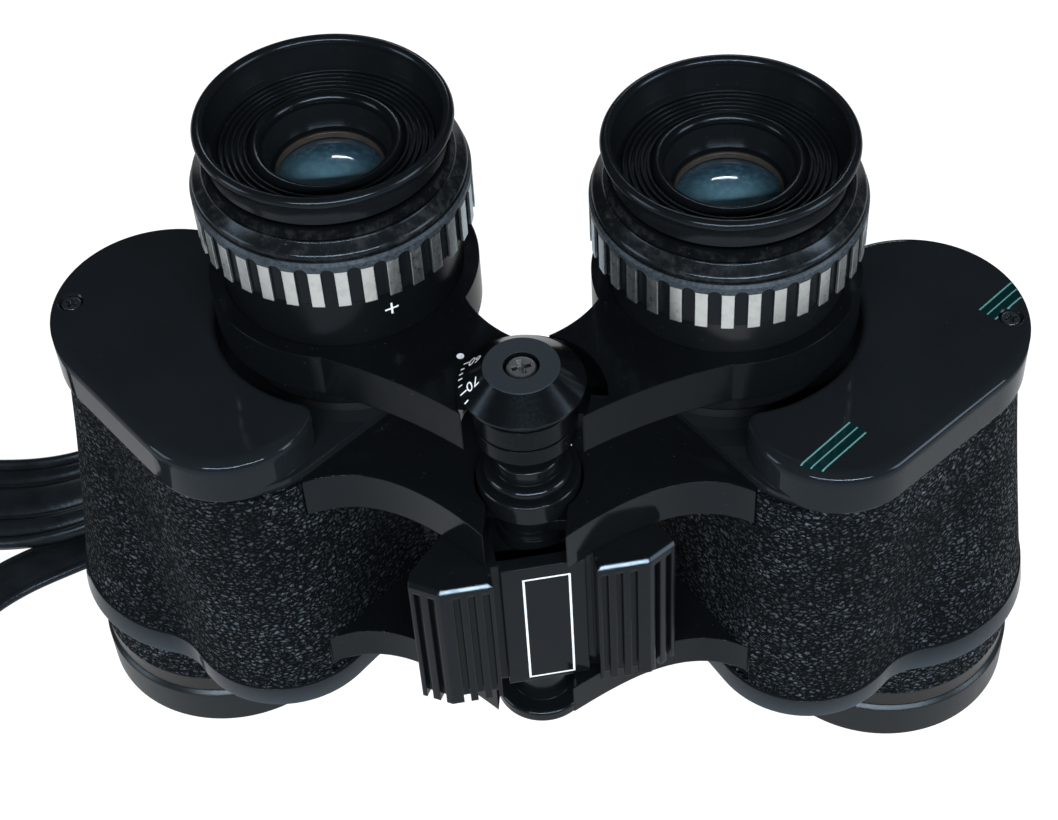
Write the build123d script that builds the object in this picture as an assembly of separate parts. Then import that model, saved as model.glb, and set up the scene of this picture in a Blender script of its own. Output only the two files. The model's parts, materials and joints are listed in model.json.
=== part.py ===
from build123d import *
from math import atan2, cos, hypot, pi, radians, sin, sqrt
import os

os.makedirs("parts", exist_ok=True)

# Porro binoculars standing on their objective rims, eyepieces up.
# The hinge axis is the Z axis while the pieces are drawn; the whole is centred front to back at the end.
# Every half is drawn on the +X side, and the left half is its mirror image.

# Optical layout
EYE_SPACING = 62.0
OBJECTIVE_X = 62.2
OBJECTIVE_Y = 26.4
EYE_Y = OBJECTIVE_Y + 2.4
RUN_GAP = 0.02
SEAT_GAP = 0.1
CLEAR = 0.4

# Prism housing: three lobes in plan, tapering from the rim band up to the cover
FLOOR_Z = 23.0
HOUSING_HEIGHT = 53.2
HOUSING_TOP = FLOOR_Z + HOUSING_HEIGHT
OUTER_LOW_R = 24.6
OUTER_TOP_X = OBJECTIVE_X + 0.1
OUTER_TOP_Y = OBJECTIVE_Y + 1.8
OUTER_TOP_R = 17.9
FRONT_LOW_X = OBJECTIVE_X - 15.7
FRONT_LOW_Y = OBJECTIVE_Y - 17.8
FRONT_TOP_X = OBJECTIVE_X - 14.7
FRONT_TOP_Y = OBJECTIVE_Y - 15.8
FRONT_R = 17.1
INNER_Y = EYE_Y - 0.8
INNER_R = 16.0
CROTCH_LOW_R = 9.0
CROTCH_TOP_R = 300.0
SKIN = 0.7
WALL = 1.8
FLOOR_THICK = 3.0
BAND_HEIGHT = 4.2
BAND_PROUD = 0.25
LEDGE = 1.4
COVERING_LAP = 0.25

# Prism cover: a raised plate over the upper prism and a sunk deck round the eyepiece
PLATE_TOP = HOUSING_TOP + 9.4
PLATE_THICK = 1.6
PLATE_OUTER_R = 18.9
PLATE_FRONT_X = OBJECTIVE_X - 13.4
PLATE_FRONT_Y = OBJECTIVE_Y - 18.5
PLATE_FRONT_R = 14.5
PLATE_EDGE = 1.4
PLATE_CORNER = 2.0
SKIRT_WALL = 1.8
CUTOUT_R = 22.6
CUTOUT_WALL = 1.8
DECK_THICK = 1.6
COVER_SCREW_IN = 3.4
COVER_SCREW_R = 1.7
COVER_SCREW_SINK = 1.1
COVER_SCREW_LENGTH = 8.0
COVER_SCREW_SHANK = 0.9
SCREW_BOSS_R = 3.0

# Prisms, shelf and clips
SHELF_Z = FLOOR_Z + 24.0
SHELF_THICK = 2.0
SHELF_WINDOW_R = 8.4
PRISM_HALF_LENGTH = 18.0
PRISM_WIDTH = 17.0
PRISM_HEIGHT = 19.0
PRISM_GAP = 0.1
CLIP_WIDTH = 6.0
CLIP_THICK = 0.6

# Objective
BARREL_R = 23.1
BARREL_BORE = 17.5
BARREL_SPIGOT_R = 20.0
BARREL_NOSE_R = 20.4
BARREL_NOSE_Z = 3.2
BARREL_STEP_Z = 9.3
LENS_SEAT_Z = 12.2
LENS_R = 18.5
CROWN_THICK = 5.0
FLINT_THICK = 2.4
LENS_CURVE = 62.0
BAND_LOW_Z = 13.2
BAND_THICK = 0.6
BEZEL_R = 23.7
BEZEL_OPENING_R = 18.0
BEZEL_LIP = 3.0
BEZEL_BEVEL = 0.8
RETAINER_HEIGHT = 1.6
RETAINER_WIDTH = 1.4

# Hinge arms of the housings, drawn with the jaws that stand either side of the hinge column
ARM_HEIGHT = 8.0
ARM_UPPER_TOP = HOUSING_TOP
ARM_LOWER_TOP = FLOOR_Z + 13.2
ARM_LOWER_HEIGHT = 6.8
JAW_X = 6.5
JAW_Y = -12.5
JAW_LOWER_Y = -13.2
ARM_ROOT_X = OBJECTIVE_X - 26.0
ARM_ROOT_UPPER_Y = OBJECTIVE_Y - 28.8
ARM_ROOT_LOWER_Y = OBJECTIVE_Y - 30.3
ARM_HOLLOW_X = 27.0
ARM_HOLLOW = 1.8
ARM_WAIST_X = 16.5
ARM_WAIST = -2.1
ARM_BACK_X = 24.0
ARM_BACK_Y = 18.0
ARM_INNER_BACK_Y = 14.5
KNUCKLE_R = 5.3
KNUCKLE_GAP = 0.4
WEB_BACK = 6.6
WEB_FRONT = -4.5

# Hinge column
TUBE_R = 4.0
COLLAR_SEAT = 2.7
COLLAR_FLANGE_R = 8.4
COLLAR_FLANGE_THICK = 4.4
COLLAR_RING_R = 7.2
COLLAR_RING_THICK = 2.0
COLLAR_NECK_R = 5.5
COLLAR_TOP = HOUSING_TOP + 6.8
COLLAR_ROUND = 0.4
HINGE_NUT_HEIGHT = 4.1
HINGE_NUT_R = 5.8
HINGE_NUT_STEP = 1.5
PIN_STEP_Z = FLOOR_Z - 1.8
PIN_DISC_Z = FLOOR_Z - 4.4
PIN_DISC_R = 8.3
PIN_TOP = FLOOR_Z + 18.0
TUBE_BOTTOM = HOUSING_TOP - 18.2

# Focus rocker, drawn square to the hinge and turned to the pose in which it stands
ROCKER_TURN = 12.7
ROCKER_BOTTOM = FLOOR_Z + 13.7
ROCKER_TOP = HOUSING_TOP - 8.9
ROCKER_HALF = 21.7
ROCKER_CORNER_Y = -11.0
PAD_Y = -13.8
PAD_IN_X = 8.4
PAD_OUT_X = 17.0
PANEL_Y = -11.5
PANEL_THICK = 2.4
PANEL_GROOVE = 1.5
PANEL_GROOVE_DEPTH = 1.3
HUB_R = 7.6
HUB_TOP = HOUSING_TOP - 12.6
PAD_BACK_X = 13.0
PAD_BACK_Y = 0.5
RIB_PITCH = 2.4
RIB_SLOT = 1.15
RIB_DEPTH = 1.5
RIB_TOP_MARGIN = 2.0
ROCKER_BEVEL = 0.6
NUT_R = 5.4

# Bridge and spindle
SPINDLE_R = 3.0
SPINDLE_BOTTOM = FLOOR_Z + 22.5
BRIDGE_BOTTOM = HOUSING_TOP + 11.2
BRIDGE_TOP = BRIDGE_BOTTOM + 8.2
BRIDGE_RING_R = 21.9
HUB_FRONT_R = 8.25
HUB_RISE = 0.9
HUB_RELIEF_R = 10.3
HUB_DISC_R = 10.0
HUB_BACK_R = 12.6
BRIDGE_END_Y = -4.5
BRIDGE_MID_X = 18.4
BRIDGE_MID_Y = 1.2
BRIDGE_NOTCH_X = 2.6
BRIDGE_NOTCH_Y = 12.2
BRIDGE_BACK_X = 6.6
BRIDGE_BACK_Y = 15.2
CAP_BASE_Z = BRIDGE_TOP + 2.4
CAP_TOP = BRIDGE_TOP + 6.4
CAP_TOP_R = 5.8
CAP_BASE_R = 9.8
CAP_BOSS_R = 8.0
CAP_RECESS_R = 2.8
CAP_RECESS = 1.6
CAP_SCREW_R = 2.5
CAP_SCREW_HEAD = 1.2
CAP_SCREW_SHANK = 1.5
CAP_SCREW_LENGTH = 12.0

# Eyepieces; the left one stands unscrewed by its dioptre setting
DIOPTRE_RISE = 3.2
GUIDE_R = 17.0
GUIDE_WALL = 1.6
GUIDE_TOP = HOUSING_TOP + 19.8
SLEEVE_R = 19.3
SLEEVE_BOTTOM = BRIDGE_BOTTOM - 5.2
SLEEVE_LEDGE = BRIDGE_TOP + 4.9
SLEEVE_TOP = BRIDGE_TOP + 12.6
CELL_R = 14.6
CELL_BOTTOM = BRIDGE_BOTTOM - 3.4
CELL_TOP = BRIDGE_TOP + 16.8
CELL_LIP = 1.0
CELL_OPENING_R = 8.2
FIELD_LENS_R = 13.0
FIELD_SEAT_Z = BRIDGE_BOTTOM + 4.6
FIELD_LENS_THICK = 5.0
EYE_LENS_R = 11.0
EYE_LENS_THICK = 6.0
EYE_LENS_CURVE = 18.0
EYE_LENS_SIDE = 1.8
EYE_RETAINER_HEIGHT = 1.8
EYE_RETAINER_BORE = 9.0
RING_R = 21.9
RING_BOTTOM = BRIDGE_TOP + 7.9
RING_TOP = BRIDGE_TOP + 16.7
RING_CEILING = RING_TOP - 2.3
FLUTES = 34
FLUTE_WIDTH = 2.1
FLUTE_DEPTH = 0.7
FLUTE_TOP = RING_TOP - 1.1
CUP_FOOT_R = 21.3
CUP_FOOT_EDGE = 0.5
CUP_NECK_R = 18.6
CUP_NECK_Z = RING_TOP + 5.2
CUP_RIM_Z = RING_TOP + 10.8
CUP_RIM_R = 20.0
CUP_BEAD = 0.9
CUP_FLOOR_R = 17.6
CUP_FLOOR_Z = RING_TOP + 5.4
CUP_THROAT_R = 10.6
CUP_THROAT_LIP = 1.3
CUP_THROAT_TAPER = 1.5
CUP_RIDGES = 6
CUP_RIDGE = 0.5

# Strap lugs on the outer back of the housings
LUG_TURN = 118.0
LUG_Z = HOUSING_TOP - 14.2
LUG_HEIGHT = 14.0
LUG_REACH = 6.0
LUG_THICK = 3.0
LUG_SLOT_HEIGHT = 10.4
LUG_SLOT = 2.6

# Neck strap: narrow ends, a ridged shoulder pad and a stored coil, lying on the table behind the left half
STRAP_THICK = 2.2
STRAP_LOW = 1.4
PAD_WIDTH = 23.0
PAD_MID_Y = 56.0
PAD_THICK = 3.0
COIL_X = -186.0
COIL_Y = 6.0
COIL_OUTER_R = 63.0
COIL_INNER_R = 36.0
COIL_HEIGHT = 7.0
HOOK_AT = (-45.0, 61.5)
HOOK_TURN = 8.0

EYE_X = EYE_SPACING / 2
EYE = (EYE_X, EYE_Y)
OBJECTIVE = (OBJECTIVE_X, OBJECTIVE_Y)
UP = (Align.CENTER, Align.CENTER, Align.MIN)


def disc(radius, low, high, centre=(0, 0)):
    return Pos(centre[0], centre[1], low) * Cylinder(radius, high - low, align=UP)


def tube(radius, bore, low, high, centre=(0, 0)):
    return disc(radius, low, high, centre) - disc(bore, low - 1, high + 1, centre)


def slab(low, high, size=400):
    return Pos(0, 0, low) * Box(size, size, high - low, align=UP)


def prism_of(face, low, high):
    return Pos(0, 0, low) * extrude(face, high - low)


def turned(points, centre=(0, 0)):
    """Solid of revolution about a vertical axis from (radius, height) points."""
    profile = make_face(Polyline(*points, close=True))
    return Pos(centre[0], centre[1], 0) * revolve(Plane.XZ * profile, Axis.Z)


def sector(radius, start, end, low, high):
    """Pie slice about the hinge axis between two bearings in degrees."""
    middle = radians((start + end) / 2)
    first = (radius * cos(radians(start)), radius * sin(radians(start)))
    last = (radius * cos(radians(end)), radius * sin(radians(end)))
    face = make_face([
        Line((0, 0), first),
        ThreePointArc(first, (radius * cos(middle), radius * sin(middle)), last),
        Line(last, (0, 0)),
    ])
    return prism_of(face, low, high)


def outer_tangent(a, a_radius, b, b_radius):
    """Touching points of the straight side that runs counter-clockwise from one lobe to the next."""
    span = hypot(b[0] - a[0], b[1] - a[1])
    dx, dy = (b[0] - a[0]) / span, (b[1] - a[1]) / span
    along = (a_radius - b_radius) / span
    across = sqrt(1 - along ** 2)
    nx, ny = along * dx + across * dy, along * dy - across * dx
    return (a[0] + a_radius * nx, a[1] + a_radius * ny), (b[0] + b_radius * nx, b[1] + b_radius * ny)


def crotch(a, a_radius, b, b_radius, fillet_radius):
    """Hollow arc between two lobes: its start, middle and end."""
    span = hypot(b[0] - a[0], b[1] - a[1])
    dx, dy = (b[0] - a[0]) / span, (b[1] - a[1]) / span
    a_far, b_far = a_radius + fillet_radius, b_radius + fillet_radius
    along = (a_far ** 2 - b_far ** 2 + span ** 2) / (2 * span)
    across = sqrt(a_far ** 2 - along ** 2)
    cx = a[0] + along * dx + across * dy
    cy = a[1] + along * dy - across * dx
    start = (a[0] + (cx - a[0]) * a_radius / a_far, a[1] + (cy - a[1]) * a_radius / a_far)
    end = (b[0] + (cx - b[0]) * b_radius / b_far, b[1] + (cy - b[1]) * b_radius / b_far)
    mx, my = (start[0] + end[0]) / 2 - cx, (start[1] + end[1]) / 2 - cy
    reach = fillet_radius / hypot(mx, my)
    return start, (cx + mx * reach, cy + my * reach), end


def lobe_arc(centre, radius, start, end):
    """Counter-clockwise arc round a lobe."""
    first = atan2(start[1] - centre[1], start[0] - centre[0])
    last = atan2(end[1] - centre[1], end[0] - centre[0])
    if last < first:
        last += 2 * pi
    middle = (first + last) / 2
    return ThreePointArc(start, (centre[0] + radius * cos(middle), centre[1] + radius * sin(middle)), end)


def housing_outline(outer, outer_radius, front, crotch_radius, inset):
    inner = (EYE_X, INNER_Y)
    r_outer, r_inner, r_front = outer_radius - inset, INNER_R - inset, FRONT_R - inset
    back_start, back_end = outer_tangent(outer, r_outer, inner, r_inner)
    side_start, side_end = outer_tangent(inner, r_inner, front, r_front)
    fold_start, fold_middle, fold_end = crotch(front, r_front, outer, r_outer, crotch_radius + inset)
    return make_face([
        lobe_arc(outer, r_outer, fold_end, back_start),
        Line(back_start, back_end),
        lobe_arc(inner, r_inner, back_end, side_start),
        Line(side_start, side_end),
        lobe_arc(front, r_front, side_end, fold_start),
        ThreePointArc(fold_start, fold_middle, fold_end),
    ])


def housing_form(inset, low=FLOOR_Z, high=HOUSING_TOP):
    """Tapering body of the housing, drawn in by an even inset and cut to a height range."""
    bottom = housing_outline(OBJECTIVE, OUTER_LOW_R, (FRONT_LOW_X, FRONT_LOW_Y), CROTCH_LOW_R, inset)
    top_centre = (OUTER_TOP_X, OUTER_TOP_Y)
    top = housing_outline(top_centre, OUTER_TOP_R, (FRONT_TOP_X, FRONT_TOP_Y), CROTCH_TOP_R, inset)
    form = loft([Pos(0, 0, FLOOR_Z) * bottom, Pos(0, 0, HOUSING_TOP) * top], ruled=True)
    if low > FLOOR_Z or high < HOUSING_TOP:
        form = form & slab(low, high)
    return form


def plate_hull(inset):
    outer, front = (OUTER_TOP_X, OUTER_TOP_Y), (PLATE_FRONT_X, PLATE_FRONT_Y)
    r_outer, r_front = PLATE_OUTER_R - inset, PLATE_FRONT_R - inset
    in_start, in_end = outer_tangent(outer, r_outer, front, r_front)
    out_start, out_end = outer_tangent(front, r_front, outer, r_outer)
    return make_face([
        lobe_arc(outer, r_outer, out_end, in_start),
        Line(in_start, in_end),
        lobe_arc(front, r_front, in_end, out_start),
        Line(out_start, out_end),
    ])


def arm_plan(root_y, jaw_y):
    """Plan of a housing arm: hollow front edge that flares to the jaw, plain back edge."""
    front = Spline(
        (ARM_ROOT_X, root_y),
        (ARM_HOLLOW_X, root_y + ARM_HOLLOW),
        (ARM_WAIST_X, root_y + ARM_WAIST),
        (JAW_X, jaw_y),
    )
    back = Line((JAW_X, ARM_INNER_BACK_Y), (ARM_BACK_X, ARM_BACK_Y))
    return make_face([
        front,
        Line((JAW_X, jaw_y), (JAW_X, ARM_INNER_BACK_Y)),
        back,
        Line((ARM_BACK_X, ARM_BACK_Y), (ARM_ROOT_X, ARM_BACK_Y)),
        Line((ARM_ROOT_X, ARM_BACK_Y), (ARM_ROOT_X, root_y)),
    ])


def hinge_arm(top, height, root_y, jaw_y, upper_knuckle, seat=0.0):
    bottom = top - height
    crown = top - seat
    middle = (bottom + crown) / 2
    low, high = (middle + KNUCKLE_GAP / 2, crown) if upper_knuckle else (bottom, middle - KNUCKLE_GAP / 2)
    arm = prism_of(arm_plan(root_y, jaw_y), bottom, top) - disc(JAW_X - 0.1, bottom - 1, top + 1)
    if seat:
        arm -= disc(COLLAR_FLANGE_R + CLEAR, crown, top + 1)
    web_depth = WEB_BACK - WEB_FRONT
    web = Pos(0, WEB_FRONT, low) * Box(JAW_X + 3, web_depth, high - low, align=(Align.MIN, Align.MIN, Align.MIN))
    arm += web + disc(KNUCKLE_R, low, high)
    return arm - disc(TUBE_R + RUN_GAP, bottom - 1, top + 1)


def lug_place():
    """Frame on the outer back of the housing, local X pointing straight out and local Y up."""
    turn = radians(180 - LUG_TURN)
    share = (LUG_Z - FLOOR_Z) / (HOUSING_TOP - FLOOR_Z)
    cx = OBJECTIVE_X + share * (OUTER_TOP_X - OBJECTIVE_X)
    cy = OBJECTIVE_Y + share * (OUTER_TOP_Y - OBJECTIVE_Y)
    radius = OUTER_LOW_R + share * (OUTER_TOP_R - OUTER_LOW_R)
    return Pos(cx + radius * cos(turn), cy + radius * sin(turn), LUG_Z) * Rot(0, 0, 180 - LUG_TURN) * Rot(90, 0, 0)


def lug_blank(extra=0.0):
    foot = Box(4.0, LUG_THICK + 2 * extra, LUG_HEIGHT + 2 * extra, align=(Align.MAX, Align.CENTER, Align.CENTER))
    ear = Box(LUG_REACH, LUG_THICK + 2 * extra, LUG_HEIGHT + 2 * extra, align=(Align.MIN, Align.CENTER, Align.CENTER))
    return foot + ear


def lug():
    ear = lug_blank()
    ear = fillet(ear.edges().filter_by(Axis.Y).group_by(Axis.X)[-1], LUG_REACH * 0.4)
    slot = Pos(LUG_REACH / 2 - 0.2, 0, 0) * Box(LUG_SLOT, 3 * LUG_THICK, LUG_SLOT_HEIGHT)
    return lug_place() * (ear - slot)


def screw_spot():
    return (OUTER_TOP_X + PLATE_OUTER_R - COVER_SCREW_IN, OUTER_TOP_Y)


def housing(upper_knuckle):
    body = housing_form(SKIN) + housing_form(-BAND_PROUD, FLOOR_Z, FLOOR_Z + BAND_HEIGHT)
    body += hinge_arm(ARM_UPPER_TOP, ARM_HEIGHT, ARM_ROOT_UPPER_Y, JAW_Y, upper_knuckle, COLLAR_SEAT)
    body += hinge_arm(ARM_LOWER_TOP, ARM_LOWER_HEIGHT, ARM_ROOT_LOWER_Y, JAW_LOWER_Y, upper_knuckle)
    body += lug()
    body -= housing_form(SKIN + WALL + LEDGE, FLOOR_Z + FLOOR_THICK, SHELF_Z)
    body -= housing_form(SKIN + WALL, SHELF_Z, HOUSING_TOP)
    boss = disc(SCREW_BOSS_R, HOUSING_TOP - COVER_SCREW_LENGTH - 2, HOUSING_TOP, screw_spot())
    body += boss & housing_form(SKIN)
    body -= disc(COVER_SCREW_SHANK + RUN_GAP, HOUSING_TOP - COVER_SCREW_LENGTH, HOUSING_TOP + 1, screw_spot())
    return body - disc(BARREL_SPIGOT_R + RUN_GAP, FLOOR_Z - 1, FLOOR_Z + FLOOR_THICK + 1, OBJECTIVE)


def covering():
    low, high = FLOOR_Z + BAND_HEIGHT + COVERING_LAP, HOUSING_TOP - COVERING_LAP
    sheet = housing_form(0, low, high) - housing_form(SKIN)
    for top, root_y in ((ARM_UPPER_TOP, ARM_ROOT_UPPER_Y), (ARM_LOWER_TOP, ARM_ROOT_LOWER_Y)):
        notch = Pos(ARM_ROOT_X + COVERING_LAP, ARM_BACK_Y + COVERING_LAP, top + COVERING_LAP)
        sheet -= notch * Box(60, 60, ARM_HEIGHT + 2 * COVERING_LAP, align=(Align.MAX, Align.MAX, Align.MAX))
    sheet -= lug_place() * lug_blank(COVERING_LAP)
    return sheet


def cover():
    plan = plate_hull(0) - Pos(*EYE) * Circle(CUTOUT_R)
    corners = [v for v in plan.vertices() if abs(hypot(v.X - EYE_X, v.Y - EYE_Y) - CUTOUT_R) < 0.01]
    plan = fillet(corners, PLATE_CORNER)
    shell = prism_of(plan, HOUSING_TOP, PLATE_TOP)
    shell = fillet(shell.faces().sort_by(Axis.Z)[-1].edges(), PLATE_EDGE)
    hollow = plate_hull(SKIRT_WALL) - Pos(*EYE) * Circle(CUTOUT_R + CUTOUT_WALL)
    shell -= prism_of(hollow, HOUSING_TOP - 1, PLATE_TOP - PLATE_THICK)
    top_outline = housing_outline(
        (OUTER_TOP_X, OUTER_TOP_Y), OUTER_TOP_R, (FRONT_TOP_X, FRONT_TOP_Y), CROTCH_TOP_R, SKIN)
    deck = top_outline - (plate_hull(SKIRT_WALL) - Pos(*EYE) * Circle(CUTOUT_R + CUTOUT_WALL))
    shell += prism_of(deck, HOUSING_TOP, HOUSING_TOP + DECK_THICK)
    boss = disc(SCREW_BOSS_R, HOUSING_TOP, PLATE_TOP - PLATE_THICK / 2, screw_spot())
    shell += boss & prism_of(plate_hull(SKIRT_WALL / 2), HOUSING_TOP, PLATE_TOP)
    shell -= disc(COVER_SCREW_R + CLEAR, PLATE_TOP - COVER_SCREW_SINK, PLATE_TOP + 1, screw_spot())
    shell -= disc(COVER_SCREW_SHANK + RUN_GAP, HOUSING_TOP - 1, PLATE_TOP + 1, screw_spot())
    return shell - disc(GUIDE_R - GUIDE_WALL / 2, HOUSING_TOP - 1, HOUSING_TOP + DECK_THICK + 1, EYE)


def cross_recess(radius, top, depth):
    """Cross-shaped driver recess."""
    bar = Box(radius * 1.2, radius * 0.34, depth, align=(Align.CENTER, Align.CENTER, Align.MAX))
    return Pos(0, 0, top) * Rot(0, 0, 20) * (bar + Rot(0, 0, 90) * bar)


def cover_screw():
    head_low = PLATE_TOP - COVER_SCREW_SINK
    head = disc(COVER_SCREW_R, head_low, PLATE_TOP - 0.2)
    head = fillet(head.edges().group_by(Axis.Z)[-1], 0.35)
    shank = disc(COVER_SCREW_SHANK, HOUSING_TOP - COVER_SCREW_LENGTH + 0.5, head_low)
    screw = head + shank - cross_recess(COVER_SCREW_R, PLATE_TOP, 0.7)
    spot = screw_spot()
    return Pos(spot[0], spot[1], 0) * screw


def fold_point():
    """Where the beam runs between the prisms: square to both eyepiece and objective offsets."""
    dx, dy = EYE_X - OBJECTIVE_X, EYE_Y - OBJECTIVE_Y
    return ((EYE_X + OBJECTIVE_X) / 2 - dy / 2, (EYE_Y + OBJECTIVE_Y) / 2 + dx / 2)


def prism_place(start, end):
    bearing = atan2(end[1] - start[1], end[0] - start[0]) * 180 / pi
    return Pos((start[0] + end[0]) / 2, (start[1] + end[1]) / 2, 0) * Rot(0, 0, bearing)


def prism_block(start, end):
    """Right-angle prism, longest face at height zero and ridge up, ends and ridge cut off."""
    half = hypot(end[0] - start[0], end[1] - start[1])
    ridge = half - PRISM_HEIGHT
    shoulder = half - PRISM_HALF_LENGTH
    profile = make_face(Polyline(
        (-PRISM_HALF_LENGTH, 0), (PRISM_HALF_LENGTH, 0), (PRISM_HALF_LENGTH, shoulder), (ridge, PRISM_HEIGHT),
        (-ridge, PRISM_HEIGHT), (-PRISM_HALF_LENGTH, shoulder), close=True))
    return extrude(Plane.XZ * profile, PRISM_WIDTH / 2, both=True)


def clip_strap():
    """Spring strap over the ridge of a prism, feet on the shelf."""
    inside = PRISM_WIDTH / 2 + PRISM_GAP
    outside = inside + CLIP_THICK
    crown = PRISM_HEIGHT + PRISM_GAP
    frame = make_face(Polyline(
        (-outside, 0), (-inside, 0), (-inside, crown), (inside, crown), (inside, 0), (outside, 0),
        (outside, crown + CLIP_THICK), (-outside, crown + CLIP_THICK), close=True))
    return extrude(Plane.YZ * frame, CLIP_WIDTH / 2, both=True)


def upper_prism():
    place = Pos(0, 0, SHELF_Z + SHELF_THICK) * prism_place(OBJECTIVE, fold_point())
    return place * prism_block(OBJECTIVE, fold_point())


def lower_prism():
    place = Pos(0, 0, SHELF_Z) * prism_place(fold_point(), EYE) * Rot(180, 0, 0)
    return place * prism_block(fold_point(), EYE)


def prism_clips():
    above = Pos(0, 0, SHELF_Z + SHELF_THICK) * prism_place(OBJECTIVE, fold_point()) * clip_strap()
    below = Pos(0, 0, SHELF_Z) * prism_place(fold_point(), EYE) * Rot(180, 0, 0) * clip_strap()
    return Compound([above.solid(), below.solid()])


def prism_shelf():
    plate = housing_form(SKIN + WALL + SEAT_GAP, SHELF_Z, SHELF_Z + SHELF_THICK)
    for spot in (OBJECTIVE, fold_point(), EYE):
        plate -= disc(SHELF_WINDOW_R, SHELF_Z - 1, SHELF_Z + SHELF_THICK + 1, spot)
    return plate


def objective_barrel():
    body = disc(BARREL_R, BARREL_STEP_Z, FLOOR_Z, OBJECTIVE)
    body += disc(BARREL_SPIGOT_R, FLOOR_Z, FLOOR_Z + FLOOR_THICK, OBJECTIVE)
    body += disc(BARREL_NOSE_R, BARREL_NOSE_Z, BARREL_STEP_Z, OBJECTIVE)
    body -= tube(BARREL_R + 1, BARREL_R - BAND_THICK, BAND_LOW_Z, FLOOR_Z, OBJECTIVE)
    body -= disc(BARREL_BORE, 0, FLOOR_Z + FLOOR_THICK + 1, OBJECTIVE)
    return body - disc(LENS_R + RUN_GAP, 0, LENS_SEAT_Z, OBJECTIVE)


def barrel_band():
    inner = BARREL_R - BAND_THICK
    return tube(BARREL_R + 0.1, inner + RUN_GAP, BAND_LOW_Z + SEAT_GAP, FLOOR_Z - SEAT_GAP, OBJECTIVE)


def objective_bezel():
    bore = BARREL_NOSE_R + RUN_GAP
    top = BARREL_STEP_Z - SEAT_GAP
    return turned([
        (BEZEL_OPENING_R + 1.4, 0), (BEZEL_R - 0.9, 0), (BEZEL_R, 0.9), (BEZEL_R, top - BEZEL_BEVEL),
        (BEZEL_R - BEZEL_BEVEL, top), (bore, top), (bore, BEZEL_LIP), (BEZEL_OPENING_R, BEZEL_LIP),
        (BEZEL_OPENING_R, 1.2),
    ], OBJECTIVE)


def lens(radius, low_edge, high_edge, low_curve, high_curve, centre):
    """Round lens; a positive curve bulges outward, a negative one is hollow."""
    def rise(curve):
        if not curve:
            return 0.0
        height = abs(curve) - sqrt(curve ** 2 - radius ** 2)
        return height if curve > 0 else -height

    def surface(pole, edge, curve):
        if not curve:
            return Line((0, pole), (radius, edge))
        sag = abs(curve) - sqrt(curve ** 2 - radius ** 2 / 4)
        return ThreePointArc((0, pole), (radius / 2, pole + (sag if edge > pole else -sag)), (radius, edge))

    low_pole, high_pole = low_edge - rise(low_curve), high_edge + rise(high_curve)
    profile = make_face([
        surface(low_pole, low_edge, low_curve),
        Line((radius, low_edge), (radius, high_edge)),
        surface(high_pole, high_edge, high_curve),
        Line((0, high_pole), (0, low_pole)),
    ])
    glass = revolve(Plane.XZ * profile, Axis.Z)
    return Pos(centre[0], centre[1], 0) * glass


def objective_flint():
    return lens(LENS_R, LENS_SEAT_Z - FLINT_THICK, LENS_SEAT_Z, -LENS_CURVE, 0, OBJECTIVE)


def objective_crown():
    high = LENS_SEAT_Z - FLINT_THICK - SEAT_GAP
    crown_edge = CROWN_THICK * 0.4
    return lens(LENS_R, high - crown_edge, high, LENS_CURVE * 1.6, LENS_CURVE, OBJECTIVE)


def objective_retainer():
    high = LENS_SEAT_Z - FLINT_THICK - CROWN_THICK * 0.4 - 5 * SEAT_GAP
    return tube(LENS_R, LENS_R - RETAINER_WIDTH, high - RETAINER_HEIGHT, high, OBJECTIVE)


def guide_tube():
    spigot = GUIDE_R - GUIDE_WALL / 2 - RUN_GAP
    deck_top = HOUSING_TOP + DECK_THICK
    body = disc(GUIDE_R, deck_top, GUIDE_TOP, EYE) + disc(spigot, HOUSING_TOP, deck_top, EYE)
    return body - disc(GUIDE_R - GUIDE_WALL, HOUSING_TOP - 1, GUIDE_TOP + 1, EYE)


def bridge_plan():
    """Plan of a bridge arm from the hinge axis to the middle of the eyepiece."""
    end_x = sqrt(HUB_RELIEF_R ** 2 - BRIDGE_END_Y ** 2)
    front_x = EYE_X + 2.0
    front_y = EYE_Y - sqrt(BRIDGE_RING_R ** 2 - 4.0) + 0.2
    back_y = EYE_Y - 7.8
    back_x = EYE_X - sqrt(BRIDGE_RING_R ** 2 - 7.8 ** 2) + 0.2
    return make_face([
        Line((0, 0), (end_x, BRIDGE_END_Y)),
        ThreePointArc((end_x, BRIDGE_END_Y), (BRIDGE_MID_X, BRIDGE_MID_Y), (front_x, front_y)),
        Line((front_x, front_y), EYE),
        Line(EYE, (back_x, back_y)),
        ThreePointArc((back_x, back_y), (BRIDGE_BACK_X, BRIDGE_BACK_Y), (BRIDGE_NOTCH_X, BRIDGE_NOTCH_Y)),
        Line((BRIDGE_NOTCH_X, BRIDGE_NOTCH_Y), (0, 0)),
    ])


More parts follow.
